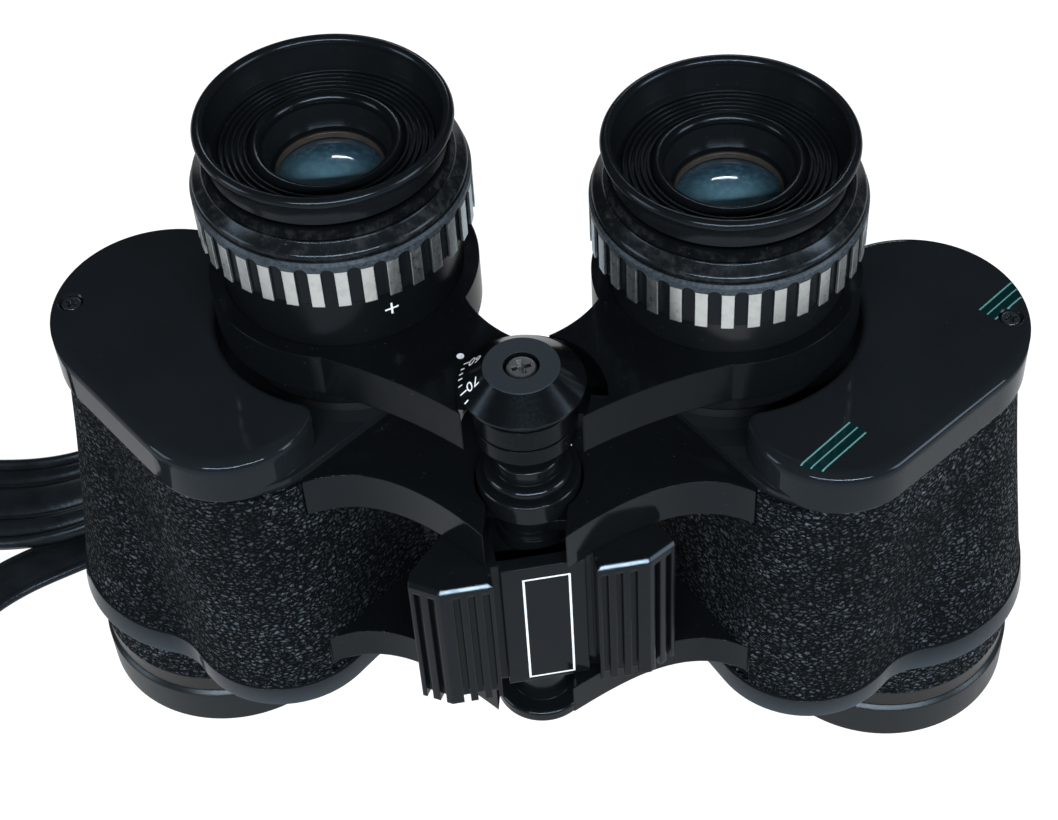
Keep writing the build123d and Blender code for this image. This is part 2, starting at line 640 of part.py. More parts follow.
def bridge_arm(upper_knuckle):
    middle = (BRIDGE_BOTTOM + BRIDGE_TOP) / 2
    upper = (middle + KNUCKLE_GAP / 2, BRIDGE_TOP)
    lower = (BRIDGE_BOTTOM, middle - KNUCKLE_GAP / 2)
    own, other = (upper, lower) if upper_knuckle else (lower, upper)
    arm = prism_of(bridge_plan(), BRIDGE_BOTTOM, BRIDGE_TOP)
    if upper_knuckle:
        arm += sector(HUB_BACK_R, 20, 118, *own)
        arm -= disc(HUB_RELIEF_R, other[0] - 1, own[0], (0, 0))
    else:
        arm += sector(HUB_DISC_R, 20, 118, *own)
        arm -= disc(HUB_RELIEF_R, own[1], other[1] + 1)
        arm -= sector(HUB_BACK_R + CLEAR, 0, 120, own[1], other[1] + 1)
    arm -= sector(HUB_RELIEF_R, -120, 0, BRIDGE_BOTTOM - 1, BRIDGE_TOP + 1)
    arm += disc(HUB_FRONT_R, own[0] + (0 if upper_knuckle else HUB_RISE), own[1])
    arm += disc(BRIDGE_RING_R, BRIDGE_BOTTOM, BRIDGE_TOP, EYE)
    arm -= disc(SLEEVE_R + RUN_GAP, BRIDGE_BOTTOM - 1, BRIDGE_TOP + 1, EYE)
    return arm - disc(SPINDLE_R + RUN_GAP, BRIDGE_BOTTOM - 1, BRIDGE_TOP + 1)


def ocular_sleeve():
    body = disc(SLEEVE_R, SLEEVE_BOTTOM, SLEEVE_TOP, EYE)
    body -= disc(GUIDE_R + 2 * RUN_GAP, SLEEVE_BOTTOM - 1, SLEEVE_LEDGE, EYE)
    return body - disc(CELL_R + RUN_GAP, SLEEVE_BOTTOM - 1, SLEEVE_TOP + 1, EYE)


def ocular_cell():
    body = disc(CELL_R, CELL_BOTTOM, CELL_TOP, EYE)
    body -= disc(FIELD_LENS_R + RUN_GAP, CELL_BOTTOM - 1, FIELD_SEAT_Z, EYE)
    body -= disc(EYE_LENS_R + RUN_GAP, CELL_BOTTOM - 1, CELL_TOP - CELL_LIP, EYE)
    return body - disc(CELL_OPENING_R, CELL_BOTTOM - 1, CELL_TOP + 1, EYE)


def field_lens():
    high = FIELD_SEAT_Z - SEAT_GAP
    return lens(FIELD_LENS_R, high - FIELD_LENS_THICK * 0.5, high, 40.0, 0, EYE)


def eye_lens():
    high = CELL_TOP - CELL_LIP - SEAT_GAP
    return lens(EYE_LENS_R, high - EYE_LENS_THICK * 0.7, high - EYE_LENS_SIDE, 60.0, EYE_LENS_CURVE, EYE)


def eye_retainer():
    high = CELL_TOP - CELL_LIP - EYE_LENS_THICK - SEAT_GAP
    return tube(EYE_LENS_R, EYE_RETAINER_BORE, high - EYE_RETAINER_HEIGHT, high, EYE)


def fluted_ring():
    body = disc(RING_R, RING_BOTTOM, RING_TOP)
    body = chamfer(body.edges().group_by(Axis.Z)[-1], 0.5)
    body -= disc(SLEEVE_R + CLEAR, RING_BOTTOM - 1, RING_CEILING)
    body -= disc(CELL_R + CLEAR, RING_BOTTOM - 1, RING_TOP + 1)
    straight = FLUTE_TOP - FLUTE_WIDTH / 2 - RING_BOTTOM + 1
    slot = Pos(RING_R - FLUTE_DEPTH, 0, RING_BOTTOM - 1) * Box(
        3, FLUTE_WIDTH, straight, align=(Align.MIN, Align.CENTER, Align.MIN))
    round_end = Pos(RING_R - FLUTE_DEPTH, 0, FLUTE_TOP - FLUTE_WIDTH / 2) * Rot(0, 90, 0) * Cylinder(
        FLUTE_WIDTH / 2, 3, align=UP)
    flute = slot + round_end
    body -= [Rot(0, 0, 360 * k / FLUTES) * flute for k in range(FLUTES)]
    return Pos(*EYE) * body


def eyecup():
    """Cup with a thin lip and a deep bowl, its floor turned in fine rings round a raised throat."""
    bead_x, bead_z = CUP_RIM_R - CUP_BEAD, CUP_RIM_Z - CUP_BEAD
    bore = CELL_R + CLEAR
    web_low = CELL_TOP + CLEAR
    low_floor = CUP_FLOOR_Z - CUP_RIDGE
    first = CUP_THROAT_R + CUP_THROAT_LIP
    pitch = (CUP_FLOOR_R - first) / CUP_RIDGES
    bowl = [(CUP_THROAT_R - CUP_THROAT_TAPER, web_low), (CUP_THROAT_R, CUP_FLOOR_Z - 0.4)]
    bowl += [(CUP_THROAT_R + 0.3, CUP_FLOOR_Z + 0.1)]
    bowl += [(CUP_THROAT_R + 0.8, CUP_FLOOR_Z + 0.2), (first, CUP_FLOOR_Z - 0.1)]
    for k in range(CUP_RIDGES):
        start = first + k * pitch
        bowl += [(start, low_floor), (start + pitch / 2, low_floor)]
        if k < CUP_RIDGES - 1:
            bowl += [(start + pitch * 0.55, CUP_FLOOR_Z), (start + pitch * 0.95, CUP_FLOOR_Z)]
    bowl += [(CUP_FLOOR_R, low_floor), (bead_x - CUP_BEAD + 0.1, bead_z)]
    lip = (bead_x + CUP_BEAD - 0.1, bead_z)
    neck = (CUP_NECK_R, CUP_NECK_Z)
    flare = (CUP_NECK_R + (lip[0] - CUP_NECK_R) * 0.22, (CUP_NECK_Z + bead_z) / 2)
    foot = (CUP_FOOT_R, RING_TOP + CUP_FOOT_EDGE)
    waist = (CUP_NECK_R + (CUP_FOOT_R - CUP_NECK_R) * 0.26, (CUP_NECK_Z + RING_TOP) / 2)
    profile = make_face([
        Polyline(foot, (CUP_FOOT_R, RING_TOP), (bore, RING_TOP), (bore, web_low), *bowl, lip),
        ThreePointArc(lip, flare, neck),
        ThreePointArc(neck, waist, foot),
    ])
    cup = revolve(Plane.XZ * profile, Axis.Z) + Pos(0, 0, bead_z) * Torus(bead_x, CUP_BEAD)
    return Pos(*EYE) * cup


def hinge_tube():
    """Upper hinge tube with the stepped collar that stands on the knuckles."""
    flange_low = ARM_UPPER_TOP - COLLAR_SEAT + 2 * SEAT_GAP
    flange_top = flange_low + COLLAR_FLANGE_THICK
    ring_top = flange_top + COLLAR_RING_THICK
    flange = fillet(disc(COLLAR_FLANGE_R, flange_low, flange_top).edges(), COLLAR_ROUND)
    ring = fillet(disc(COLLAR_RING_R, flange_top, ring_top).edges(), COLLAR_RING_THICK * 0.45)
    neck = disc(COLLAR_NECK_R, flange_top, COLLAR_TOP)
    neck = fillet(neck.edges().group_by(Axis.Z)[-1], COLLAR_ROUND)
    body = flange + ring + neck + disc(TUBE_R, TUBE_BOTTOM, COLLAR_TOP - 1)
    return body - disc(SPINDLE_R + 2 * RUN_GAP, TUBE_BOTTOM - 1, COLLAR_TOP + 1)


def hinge_nut():
    """Stepped nut that holds the tube up against the knuckles."""
    top = ARM_UPPER_TOP - ARM_HEIGHT - SEAT_GAP
    low = top - HINGE_NUT_HEIGHT
    body = disc(KNUCKLE_R, low, top) + disc(HINGE_NUT_R, low, top - HINGE_NUT_STEP)
    return body - disc(TUBE_R + RUN_GAP, low - 1, top + 1)


def hinge_pin():
    """Lower hinge pin with its stepped end below the knuckles."""
    knuckle_bottom = ARM_LOWER_TOP - ARM_LOWER_HEIGHT - SEAT_GAP
    foot = disc(PIN_DISC_R, PIN_DISC_Z, PIN_STEP_Z)
    foot = fillet(foot.edges(), 0.6)
    return foot + disc(KNUCKLE_R, PIN_STEP_Z - 0.1, knuckle_bottom) + disc(TUBE_R, PIN_STEP_Z, PIN_TOP)


def rocker_half_plan():
    return make_face(Polyline(
        (0, PANEL_Y), (PAD_IN_X, PANEL_Y), (PAD_IN_X, PAD_Y), (PAD_OUT_X, PAD_Y), (ROCKER_HALF, ROCKER_CORNER_Y),
        (ROCKER_HALF - 0.6, ROCKER_CORNER_Y + 2.4), (PAD_BACK_X, PAD_BACK_Y), (HUB_R, PAD_BACK_Y), (0, PAD_BACK_Y),
        close=True))


def rocker_slots():
    """Grip grooves down one pad: some on its flat front, some on its bevelled side."""
    length = ROCKER_TOP - RIB_TOP_MARGIN - ROCKER_BOTTOM + 1
    groove = Pos(0, 0, ROCKER_BOTTOM - 1) * Box(
        RIB_SLOT, 2 * RIB_DEPTH, length, align=(Align.CENTER, Align.CENTER, Align.MIN))
    flat = PAD_OUT_X - PAD_IN_X
    count = int(flat / RIB_PITCH)
    cuts = [Pos(PAD_OUT_X - 0.2 - k * RIB_PITCH, PAD_Y, 0) * groove for k in range(1, count + 1) if k * RIB_PITCH < flat - 1]
    run, drop = ROCKER_HALF - PAD_OUT_X, ROCKER_CORNER_Y - PAD_Y
    bearing = atan2(drop, run) * 180 / pi
    for share in (0.3, 0.75):
        cuts.append(Pos(PAD_OUT_X + share * run, PAD_Y + share * drop, 0) * Rot(0, 0, bearing) * groove)
    return cuts


def focus_rocker():
    half = prism_of(rocker_half_plan(), ROCKER_BOTTOM, ROCKER_TOP)
    half = chamfer(half.faces().sort_by(Axis.Z)[-1].edges().sort_by(Axis.Y)[:3], ROCKER_BEVEL)
    half -= rocker_slots()
    half -= Pos(PAD_IN_X - PANEL_GROOVE / 2, PANEL_Y, 0) * Box(PANEL_GROOVE, 2 * PANEL_GROOVE_DEPTH, 3 * ROCKER_TOP)
    body = half + mirror(half, about=Plane.YZ)
    well_front = PANEL_Y + PANEL_THICK
    well = Pos(0, well_front, HUB_TOP) * Box(
        2 * (PAD_IN_X - 1.2), 40, ROCKER_TOP, align=(Align.CENTER, Align.MIN, Align.MIN))
    body -= well
    body += disc(HUB_R, ROCKER_BOTTOM, HUB_TOP)
    body -= disc(NUT_R + RUN_GAP, ROCKER_BOTTOM - 1, HUB_TOP + 1)
    return Rot(0, 0, ROCKER_TURN) * body


def focus_nut():
    body = disc(NUT_R, ROCKER_BOTTOM, HUB_TOP)
    body -= disc(TUBE_R + RUN_GAP, TUBE_BOTTOM - 1, HUB_TOP + 1)
    body -= disc(TUBE_R + RUN_GAP, ROCKER_BOTTOM - 1, PIN_TOP + 1)
    return body - disc(SPINDLE_R + RUN_GAP, ROCKER_BOTTOM - 1, HUB_TOP + 1)


def focus_spindle():
    rod = disc(SPINDLE_R, SPINDLE_BOTTOM, BRIDGE_TOP)
    rod = chamfer(rod.edges().group_by(Axis.Z)[0], 0.6)
    return rod - disc(CAP_SCREW_SHANK + RUN_GAP, CAP_TOP - CAP_RECESS - CAP_SCREW_LENGTH, BRIDGE_TOP + 1)


def hinge_cap():
    floor = CAP_TOP - CAP_RECESS
    return turned([
        (CAP_SCREW_SHANK + RUN_GAP, BRIDGE_TOP + SEAT_GAP), (CAP_BOSS_R, BRIDGE_TOP + SEAT_GAP),
        (CAP_BOSS_R, CAP_BASE_Z), (CAP_BASE_R, CAP_BASE_Z), (CAP_BASE_R, CAP_BASE_Z + 0.5), (CAP_TOP_R, CAP_TOP),
        (CAP_RECESS_R, CAP_TOP), (CAP_RECESS_R, floor), (CAP_SCREW_SHANK + RUN_GAP, floor),
    ])


def cap_screw():
    low = CAP_TOP - CAP_RECESS
    head = disc(CAP_SCREW_R, low, low + CAP_SCREW_HEAD)
    head = fillet(head.edges().group_by(Axis.Z)[-1], 0.5)
    screw = head + disc(CAP_SCREW_SHANK, low - CAP_SCREW_LENGTH + 0.5, low)
    return screw - cross_recess(CAP_SCREW_R, low + CAP_SCREW_HEAD, 0.8)


def strap_exit():
    """Lower mouth of the slot in the left lug."""
    place = (lug_place() * Pos(LUG_REACH / 2 - 0.2, -LUG_THICK / 2 - SEAT_GAP, 0)).position
    return (-place.X, place.Y, place.Z)


def cord_path(points):
    """Straight runs joined by tangent arcs, each arc as large as its two runs allow."""
    spots = [Vector(*p) for p in points]
    edges, start = [], spots[0]
    for before, corner, after in zip(spots, spots[1:], spots[2:]):
        back, ahead = before - corner, after - corner
        half_turn = (pi - radians(back.get_angle(ahead))) / 2
        reach = 0.45 * min(back.length, ahead.length)
        radius = reach / (sin(half_turn) / cos(half_turn))
        entry = corner + back.normalized() * reach
        leave = corner + ahead.normalized() * reach
        inward = (back.normalized() + ahead.normalized()).normalized()
        middle = corner + inward * (radius / cos(half_turn) - radius)
        edges += [Line(start, entry), ThreePointArc(entry, middle, leave)]
        start = leave
    edges.append(Line(start, spots[-1]))
    return Wire(edges)


def strap_run(points):
    path = cord_path(points)
    section = Plane(path @ 0, z_dir=path % 0) * Circle(STRAP_THICK / 2)
    return sweep(section, path=path)


def strap_left():
    """From the left lug down behind the housing and along the table to the coil."""
    return strap_run([
        strap_exit(), (-73, 49.4, 48), (-75.2, 52.8, 33.4), (-80.4, 55.2, 19.6), (-90.8, 56, 9), (-104.4, 56, 3.4),
        (-119, 55.6, 2.4), (-135, 55.9, 2.2), (-149, 58.4, STRAP_LOW),
    ])


def strap_right():
    """From the coil along the table behind the left half, to the hook."""
    return strap_run([
        (-122.2, 5, STRAP_LOW), (-119.5, 20.5, STRAP_LOW), (-110.5, 33, STRAP_LOW), (-96.5, 42, STRAP_LOW),
        (-80, 51, STRAP_LOW), (-62, 58, STRAP_LOW), HOOK_AT + (STRAP_LOW,),
    ])


def strap_hook():
    """Spring hook on the free end of the strap: a slotted frame, a stem and an open ring."""
    frame = Pos(2.2, 0, 0) * (Box(5.6, 14.5, 2.4) - Box(2.6, 11.2, 4))
    frame = fillet(frame.edges().filter_by(Axis.Z), 0.8)
    stem = Pos(8, 0, 0) * Box(7, 3.4, 2.4)
    ring = Pos(15.6, 0, 0) * Torus(5.2, 1.2)
    gap = Pos(17.4, 4.6, 0) * Rot(0, 0, 70) * Box(1.4, 6, 4)
    place = Pos(HOOK_AT[0], HOOK_AT[1], STRAP_LOW) * Rot(0, 0, HOOK_TURN)
    return place * (frame + stem + ring - gap)


def strap_coil():
    return tube(COIL_OUTER_R, COIL_INNER_R, 0.2, COIL_HEIGHT, (COIL_X, COIL_Y))


def strap_pad():
    """Shoulder pad that the left run passes through, bent where the strap comes down to the table."""
    line = [(-84, 16.6), (-87.5, 12.6), (-91.5, 9.6), (-97, 6.9), (-104, 5), (-111, 4.2), (-119, 3.9), (-134, 3.7)]
    under = [(x, z - PAD_THICK) for x, z in line]
    under[0] = (line[0][0] - 1.8, line[0][1] - PAD_THICK + 0.6)
    side = make_face(Polyline(*line, *reversed(under), close=True))
    return Pos(0, PAD_MID_Y + PAD_WIDTH / 2, 0) * extrude(Plane.XZ * side, PAD_WIDTH)


# Centre the whole front to back between the rocker's nearest corner and the back of the rim band
ROCKER_FRONT = -PAD_OUT_X * sin(radians(ROCKER_TURN)) + PAD_Y * cos(radians(ROCKER_TURN))
HOUSING_BACK = OBJECTIVE_Y + OUTER_LOW_R + BAND_PROUD
CENTRE = Pos(0, -(ROCKER_FRONT + HOUSING_BACK) / 2, 0)

PAIRED = {
    "covering": covering,
    "prism_cover": cover,
    "cover_screw": cover_screw,
    "prism_shelf": prism_shelf,
    "upper_prism": upper_prism,
    "lower_prism": lower_prism,
    "prism_clips": prism_clips,
    "objective_barrel": objective_barrel,
    "barrel_band": barrel_band,
    "objective_bezel": objective_bezel,
    "objective_crown": objective_crown,
    "objective_flint": objective_flint,
    "objective_retainer": objective_retainer,
    "guide_tube": guide_tube,
    "ocular_sleeve": ocular_sleeve,
}
OCULAR = {
    "ocular_cell": ocular_cell,
    "field_lens": field_lens,
    "eye_lens": eye_lens,
    "eye_lens_retainer": eye_retainer,
    "eyecup": eyecup,
}

pieces = {}
for name, build in PAIRED.items():
    piece = build()
    pieces["right_" + name] = piece
    pieces["left_" + name] = mirror(piece, about=Plane.YZ)
for name, build in OCULAR.items():
    piece = build()
    pieces["right_" + name] = piece
    pieces["left_" + name] = Pos(0, 0, DIOPTRE_RISE) * mirror(piece, about=Plane.YZ)
ring = fluted_ring()
pieces["right_grip_ring"] = ring
pieces["dioptre_ring"] = Pos(0, 0, DIOPTRE_RISE) * mirror(ring, about=Plane.YZ)
pieces["right_housing"] = housing(False)
pieces["left_housing"] = mirror(housing(True), about=Plane.YZ)
pieces["right_bridge_arm"] = bridge_arm(False)
pieces["left_bridge_arm"] = mirror(bridge_arm(True), about=Plane.YZ)
pieces["hinge_tube"] = hinge_tube()
pieces["hinge_nut"] = hinge_nut()
pieces["hinge_pin"] = hinge_pin()
pieces["focus_rocker"] = focus_rocker()
pieces["focus_nut"] = focus_nut()
pieces["focus_spindle"] = focus_spindle()
pieces["hinge_cap"] = hinge_cap()
pieces["cap_screw"] = cap_screw()
pieces["strap_left"] = strap_left()
pieces["strap_right"] = strap_right()
pieces["strap_coil"] = strap_coil()
pieces["strap_pad"] = strap_pad()
pieces["strap_hook"] = strap_hook()

for name, piece in pieces.items():
    export_step(CENTRE * piece, f"parts/{name}.step")
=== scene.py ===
import json
import math

import bmesh
import bpy
from mathutils import Matrix, Vector


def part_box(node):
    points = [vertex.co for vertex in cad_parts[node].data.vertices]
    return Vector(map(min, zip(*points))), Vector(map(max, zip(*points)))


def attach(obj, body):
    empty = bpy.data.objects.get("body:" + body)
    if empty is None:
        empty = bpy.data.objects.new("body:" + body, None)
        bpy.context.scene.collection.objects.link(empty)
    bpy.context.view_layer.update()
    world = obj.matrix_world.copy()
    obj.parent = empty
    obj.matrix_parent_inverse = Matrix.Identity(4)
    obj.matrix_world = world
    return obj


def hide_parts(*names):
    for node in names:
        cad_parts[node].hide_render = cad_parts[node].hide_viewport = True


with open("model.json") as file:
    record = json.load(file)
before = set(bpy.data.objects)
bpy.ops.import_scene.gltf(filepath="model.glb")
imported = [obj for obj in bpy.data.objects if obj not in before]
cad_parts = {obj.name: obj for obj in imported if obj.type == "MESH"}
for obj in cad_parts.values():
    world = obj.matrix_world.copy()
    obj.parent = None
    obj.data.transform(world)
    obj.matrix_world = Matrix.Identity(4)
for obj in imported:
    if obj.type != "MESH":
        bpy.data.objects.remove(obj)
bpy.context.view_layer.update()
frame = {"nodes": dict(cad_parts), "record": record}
nodes = frame["nodes"]
scene = bpy.context.scene

MM = 0.001
PER_METRE = 1000.0
UP = Vector((0, 0, 1))


def joint_place(name):
    """Place of a joint's axis in the shared frame, in millimetres."""
    joint = next(j for j in frame["record"]["behaviour"]["joints"] if j["name"] == name)
    return [round(c / MM, 4) for c in joint["pos_m"]]


def top_of(name):
    """Highest level of a solid, in millimetres above the table."""
    return round(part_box(name)[1][2] / MM, 3)


# Sizes in millimetres: places across are from the hinge axis, levels from the table
HINGE_Y = joint_place("spacing_hinge")[1]
EYE_X = -joint_place("dioptre_turn")[0]
EYE_Y = joint_place("dioptre_turn")[1] - HINGE_Y
PLATE_TOP = top_of("right_prism_cover")
BRIDGE_TOP = top_of("left_bridge_arm")
RING_TOP = top_of("right_grip_ring")
RING_FLATS_TOP = RING_TOP - 1.8
RING_FLATS_RADIUS = 21.5
CUP_FLOOR = RING_TOP + 5.4
DIOPTRE_RISE = top_of("dioptre_ring") - RING_TOP
CAP_TOP = top_of("hinge_cap")
CAP_BASE_LEVEL = CAP_TOP - 3.5
CAP_BASE_RADIUS = 9.8
CAP_RIM_RADIUS = 5.8
ROCKER_TURN = math.radians(12.7)

# Each eyepiece's axis, how far it stands above the right one, and the body that its cup rides on
EYEPIECES = {
    "left": (-EYE_X, DIOPTRE_RISE, "dioptre"),
    "right": (EYE_X, 0.0, "right_carriage"),
}

# Tints of the black paint, of dust, of brass and of the light that paint mirrors
COOL = (0.84, 1.0, 1.14)
DUST = (1.0, 0.97, 0.9)
PALE_DUST = (1.0, 1.0, 0.98)
BRASS = (1.0, 0.8, 0.42)
COLD_SHEEN = (0.68, 0.84, 1.0, 1.0)
PALE_SHEEN = (0.8, 0.92, 1.0, 1.0)

# Colours of the printed stripes, the bronze edge and the coated glass, with the glass's painted light
STRIPE_GREEN = (0.001, 0.013, 0.014, 1.0)
STRIPE_PALE = (0.10, 0.24, 0.22, 1.0)
BRONZE_DARK = (0.016, 0.013, 0.011, 1.0)
BRONZE_WORN = (0.045, 0.036, 0.029, 1.0)
LENS_DEEP = (0.013, 0.037, 0.057, 1.0)
LENS_LIT_FRONT = (0.08, 0.165, 0.2, 1.0)
LENS_FILM = (0.1, 0.19, 0.23, 1.0)
OBJECTIVE_DEEP = (0.012, 0.012, 0.045, 1.0)
OBJECTIVE_VIOLET = (0.03, 0.02, 0.08, 1.0)


def at(x, y, z):
    """A point given in millimetres from the hinge axis, in the shared frame in metres."""
    return Vector((x * MM, (y + HINGE_Y) * MM, z * MM))


class Shade:
    """One output socket of a material's node tree. Arithmetic on it adds nodes to the tree."""

    def __init__(self, tree, socket=None):
        self.tree = tree
        self.socket = socket

    def node(self, kind, settings=None, out=0, **inputs):
        """Adds any other node: its settings, then its inputs by name or place; gives one of its outputs."""
        made = self.tree.nodes.new("ShaderNode" + kind)
        for name, value in (settings or {}).items():
            setattr(made, name, value)
        for name, value in inputs.items():
            key = int(name[1:]) if name[1:].isdigit() else name.replace("_", " ")
            feed(self.tree, made.inputs[key], value)
        return Shade(self.tree, made.outputs[out])

    def maths(self, operation, *others):
        values = {f"i{k}": v for k, v in enumerate((self, *others))}
        return self.node("Math", {"operation": operation}, **values)

    def __add__(self, other):
        return self.maths("ADD", other)

    __radd__ = __add__

    def __sub__(self, other):
        return self.maths("SUBTRACT", other)

    def __rsub__(self, other):
        return self.node("Math", {"operation": "SUBTRACT"}, i0=other, i1=self)

    def __mul__(self, other):
        return self.maths("MULTIPLY", other)

    __rmul__ = __mul__

    def __abs__(self):
        return self.maths("ABSOLUTE")

    def __gt__(self, other):
        return self.maths("GREATER_THAN", other)

    def __lt__(self, other):
        return self.maths("LESS_THAN", other)

    def __getitem__(self, axis):
        return self.node("SeparateXYZ", out=axis, Vector=self)


def feed(tree, socket, value):
    """Links a socket to a shade, or sets it to a plain value."""
    if isinstance(value, Shade):
        tree.links.new(value.socket, socket)
    else:
        socket.default_value = value


def empty_tree(owner):
    """Node tree of a material or world, cleared of its first nodes."""
    owner.use_nodes = True
    owner.node_tree.nodes.clear()
    return owner.node_tree


def material(name, paint, constants):
    """A material whose surface inputs come from paint(place), a function of the point on the piece."""
    made = bpy.data.materials.new(name)
    tree = empty_tree(made)
    output = tree.nodes.new("ShaderNodeOutputMaterial")
    surface = tree.nodes.new("ShaderNodeBsdfPrincipled")
    tree.links.new(surface.outputs[0], output.inputs[0])
    for key, value in constants.items():
        surface.inputs[key.replace("_", " ")].default_value = value
    place = Shade(tree).node("TexCoord", out="Object")
    for key, value in paint(place).items():
        feed(tree, surface.inputs[key.replace("_", " ")], value)
    return made


# Helpers for the finishes
def ramp(value, low, high, to_low=0.0, to_high=1.0):
    """Smooth change from to_low to to_high while value goes from low to high."""
    return value.node(
        "MapRange", {"interpolation_type": "SMOOTHSTEP"}, Value=value,
        From_Min=low, From_Max=high, To_Min=to_low, To_Max=to_high,
    )


def mix(share, first, second):
    """Blend of two colours by a share from 0 to 1."""
    return share.node("Mix", {"data_type": "RGBA"}, out=2, i0=share, i6=first, i7=second)


def grey(level, tint=(1.0, 1.0, 1.0)):
    return (level * tint[0], level * tint[1], level * tint[2], 1.0)


def noise(place, size, detail=3.0, roughness=0.55, out=0):
    """Soft noise whose grains are about size millimetres across."""
    return place.node(
        "TexNoise", out=out, Vector=place, Scale=PER_METRE / size, Detail=detail, Roughness=roughness,
    )


def cells(place, size, feature="F1", out=0):
    """Cells about size millimetres across."""
    return place.node("TexVoronoi", {"feature": feature}, out=out, Vector=place, Scale=PER_METRE / size)


def bump(height, strength, depth, normal=None):
    """Surface normal from a height from 0 to 1 that stands for depth millimetres."""
    extra = {} if normal is None else {"Normal": normal}
    return height.node("Bump", Strength=strength, Distance=depth * MM, Height=height, **extra)


def worn_edge(place, radius):
    """Normal rounded at sharp edges by radius millimetres."""
    return place.node("Bevel", {"samples": 6}, Radius=radius * MM)


def height_of(place):
    """Level above the table in millimetres."""
    return place["Z"] * PER_METRE


def across(place, x, y):
    """Offsets in millimetres from an upright axis given from the hinge."""
    return place["X"] * PER_METRE - x, place["Y"] * PER_METRE - (y + HINGE_Y)


def from_axis(place, x, y):
    """Distance in millimetres from an upright axis given from the hinge."""
    dx, dy = across(place, x, y)
    return (dx * dx + dy * dy).maths("SQRT")


def turned_offsets(place, turn, x=0.0, y=0.0):
    """Offsets from an upright axis, along a direction turned from the x axis and square to it."""
    dx, dy = across(place, x, y)
    cosine = math.cos(turn)
    sine = math.sin(turn)
    return dx * cosine + dy * sine, dy * cosine - dx * sine


def within(value, middle, half):
    return abs(value - middle) < half


CROWN_LIP = 0.3
CROWN_LEAN = 1.05


def rounded_over(normal, place, top, depth):
    """Normal of upright faces leaning back towards a top edge, from depth millimetres below it."""
    rise = ramp(height_of(place), top - depth, top - CROWN_LIP, 0.0, CROWN_LEAN)
    lean = normal.node("CombineXYZ", Z=rise)
    leaning = normal.node("VectorMath", {"operation": "ADD"}, i0=normal, i1=lean)
    return leaning.node("VectorMath", {"operation": "NORMALIZE"}, i0=leaning)


# Printed marks, dust and painted light near the table, painted over a finish
STRIPE_TURN = math.radians(48.85)
STRIPE_GAP = (36.6, 70.2)
STRIPE_BAND = (-36.95, 1.75)
STRIPE_LINES = ((-35.3, 0.13), (-36.85, 0.11), (-38.5, 0.13))
PRINT_DEPTH = 0.25
CAP_FACE_DEPTH = 0.12
PANEL_ASIDE = 0.45
PANEL_LEVEL = 50.95
PANEL_HALF_WIDTH = 3.95
PANEL_HALF_HEIGHT = 13.45
PANEL_LINE = 0.37
PANEL_FACE = (-11.5, 0.4)
PLUS_TURN = math.radians(-58.6)
PLUS_LEVEL = 101.3
PLUS_REACH = 15.0
PLUS_ARM = 1.15
PLUS_LINE = 0.17
NECK_RADIUS = 16.0
NECK_BAND = (114.0, 2.6)
# Levels in millimetres over which the painted light from the table fades out
TABLE_GLOW_LEVELS = (16.0, 30.0)


def table_glow_foot(place, colour):
    """Castings painted a little greyer towards the table, as painted light from the bright table that their
    lower faces mirror.
    """
    return mix(ramp(height_of(place), *TABLE_GLOW_LEVELS, 1.0, 0.0), colour, grey(0.06, COOL))


def plate_stripes(place, colour):
    """Three fine pale lines on a dark green band, broken off in the middle of the plate."""
    along, aside = turned_offsets(place, STRIPE_TURN)
    on_top = height_of(place) > PLATE_TOP - PRINT_DEPTH
    ends = ((along < STRIPE_GAP[0]) + (along > STRIPE_GAP[1])) * on_top
    first, second, third = (within(aside, *line) for line in STRIPE_LINES)
    colour = mix(within(aside, *STRIPE_BAND) * ends * 0.9, colour, STRIPE_GREEN)
    return mix((first + second + third) * ends, colour, STRIPE_PALE)


def rocker_frame(place, colour):
    """Thin white frame round the lever's middle panel."""
    aside, ahead = turned_offsets(place, ROCKER_TURN)
    level = height_of(place)

    def panel(inset):
        wide = within(aside, PANEL_ASIDE, PANEL_HALF_WIDTH - inset)
        return wide * within(level, PANEL_LEVEL, PANEL_HALF_HEIGHT - inset)

    frame_line = (panel(0.0) - panel(PANEL_LINE)) * within(ahead, *PANEL_FACE)
    return mix(frame_line, colour, grey(0.62))


def plus_mark(place, colour):
    """Plus sign on the sleeve under the dioptre ring."""
    outward, aside = turned_offsets(place, PLUS_TURN, -EYE_X, EYE_Y)
    level = height_of(place) - PLUS_LEVEL
    upright = within(aside, 0.0, PLUS_LINE) * within(level, 0.0, PLUS_ARM)
    level_bar = within(aside, 0.0, PLUS_ARM) * within(level, 0.0, PLUS_LINE)
    sign = (upright + level_bar).maths("MINIMUM", 1.0) * (outward > PLUS_REACH)
    return mix(sign, colour, grey(0.6))


def neck_dust(x, rise):
    """Dust caught on the cup's neck above the ring."""
    def marks(place, colour):
        patch = ramp(noise(place, 2.5, 6.0, 0.75), 0.45, 0.72)
        outside = within(height_of(place) - rise, *NECK_BAND) * (from_axis(place, x, EYE_Y) > NECK_RADIUS)
        return mix(patch * outside * 0.2, colour, grey(0.09, PALE_DUST))
    return marks


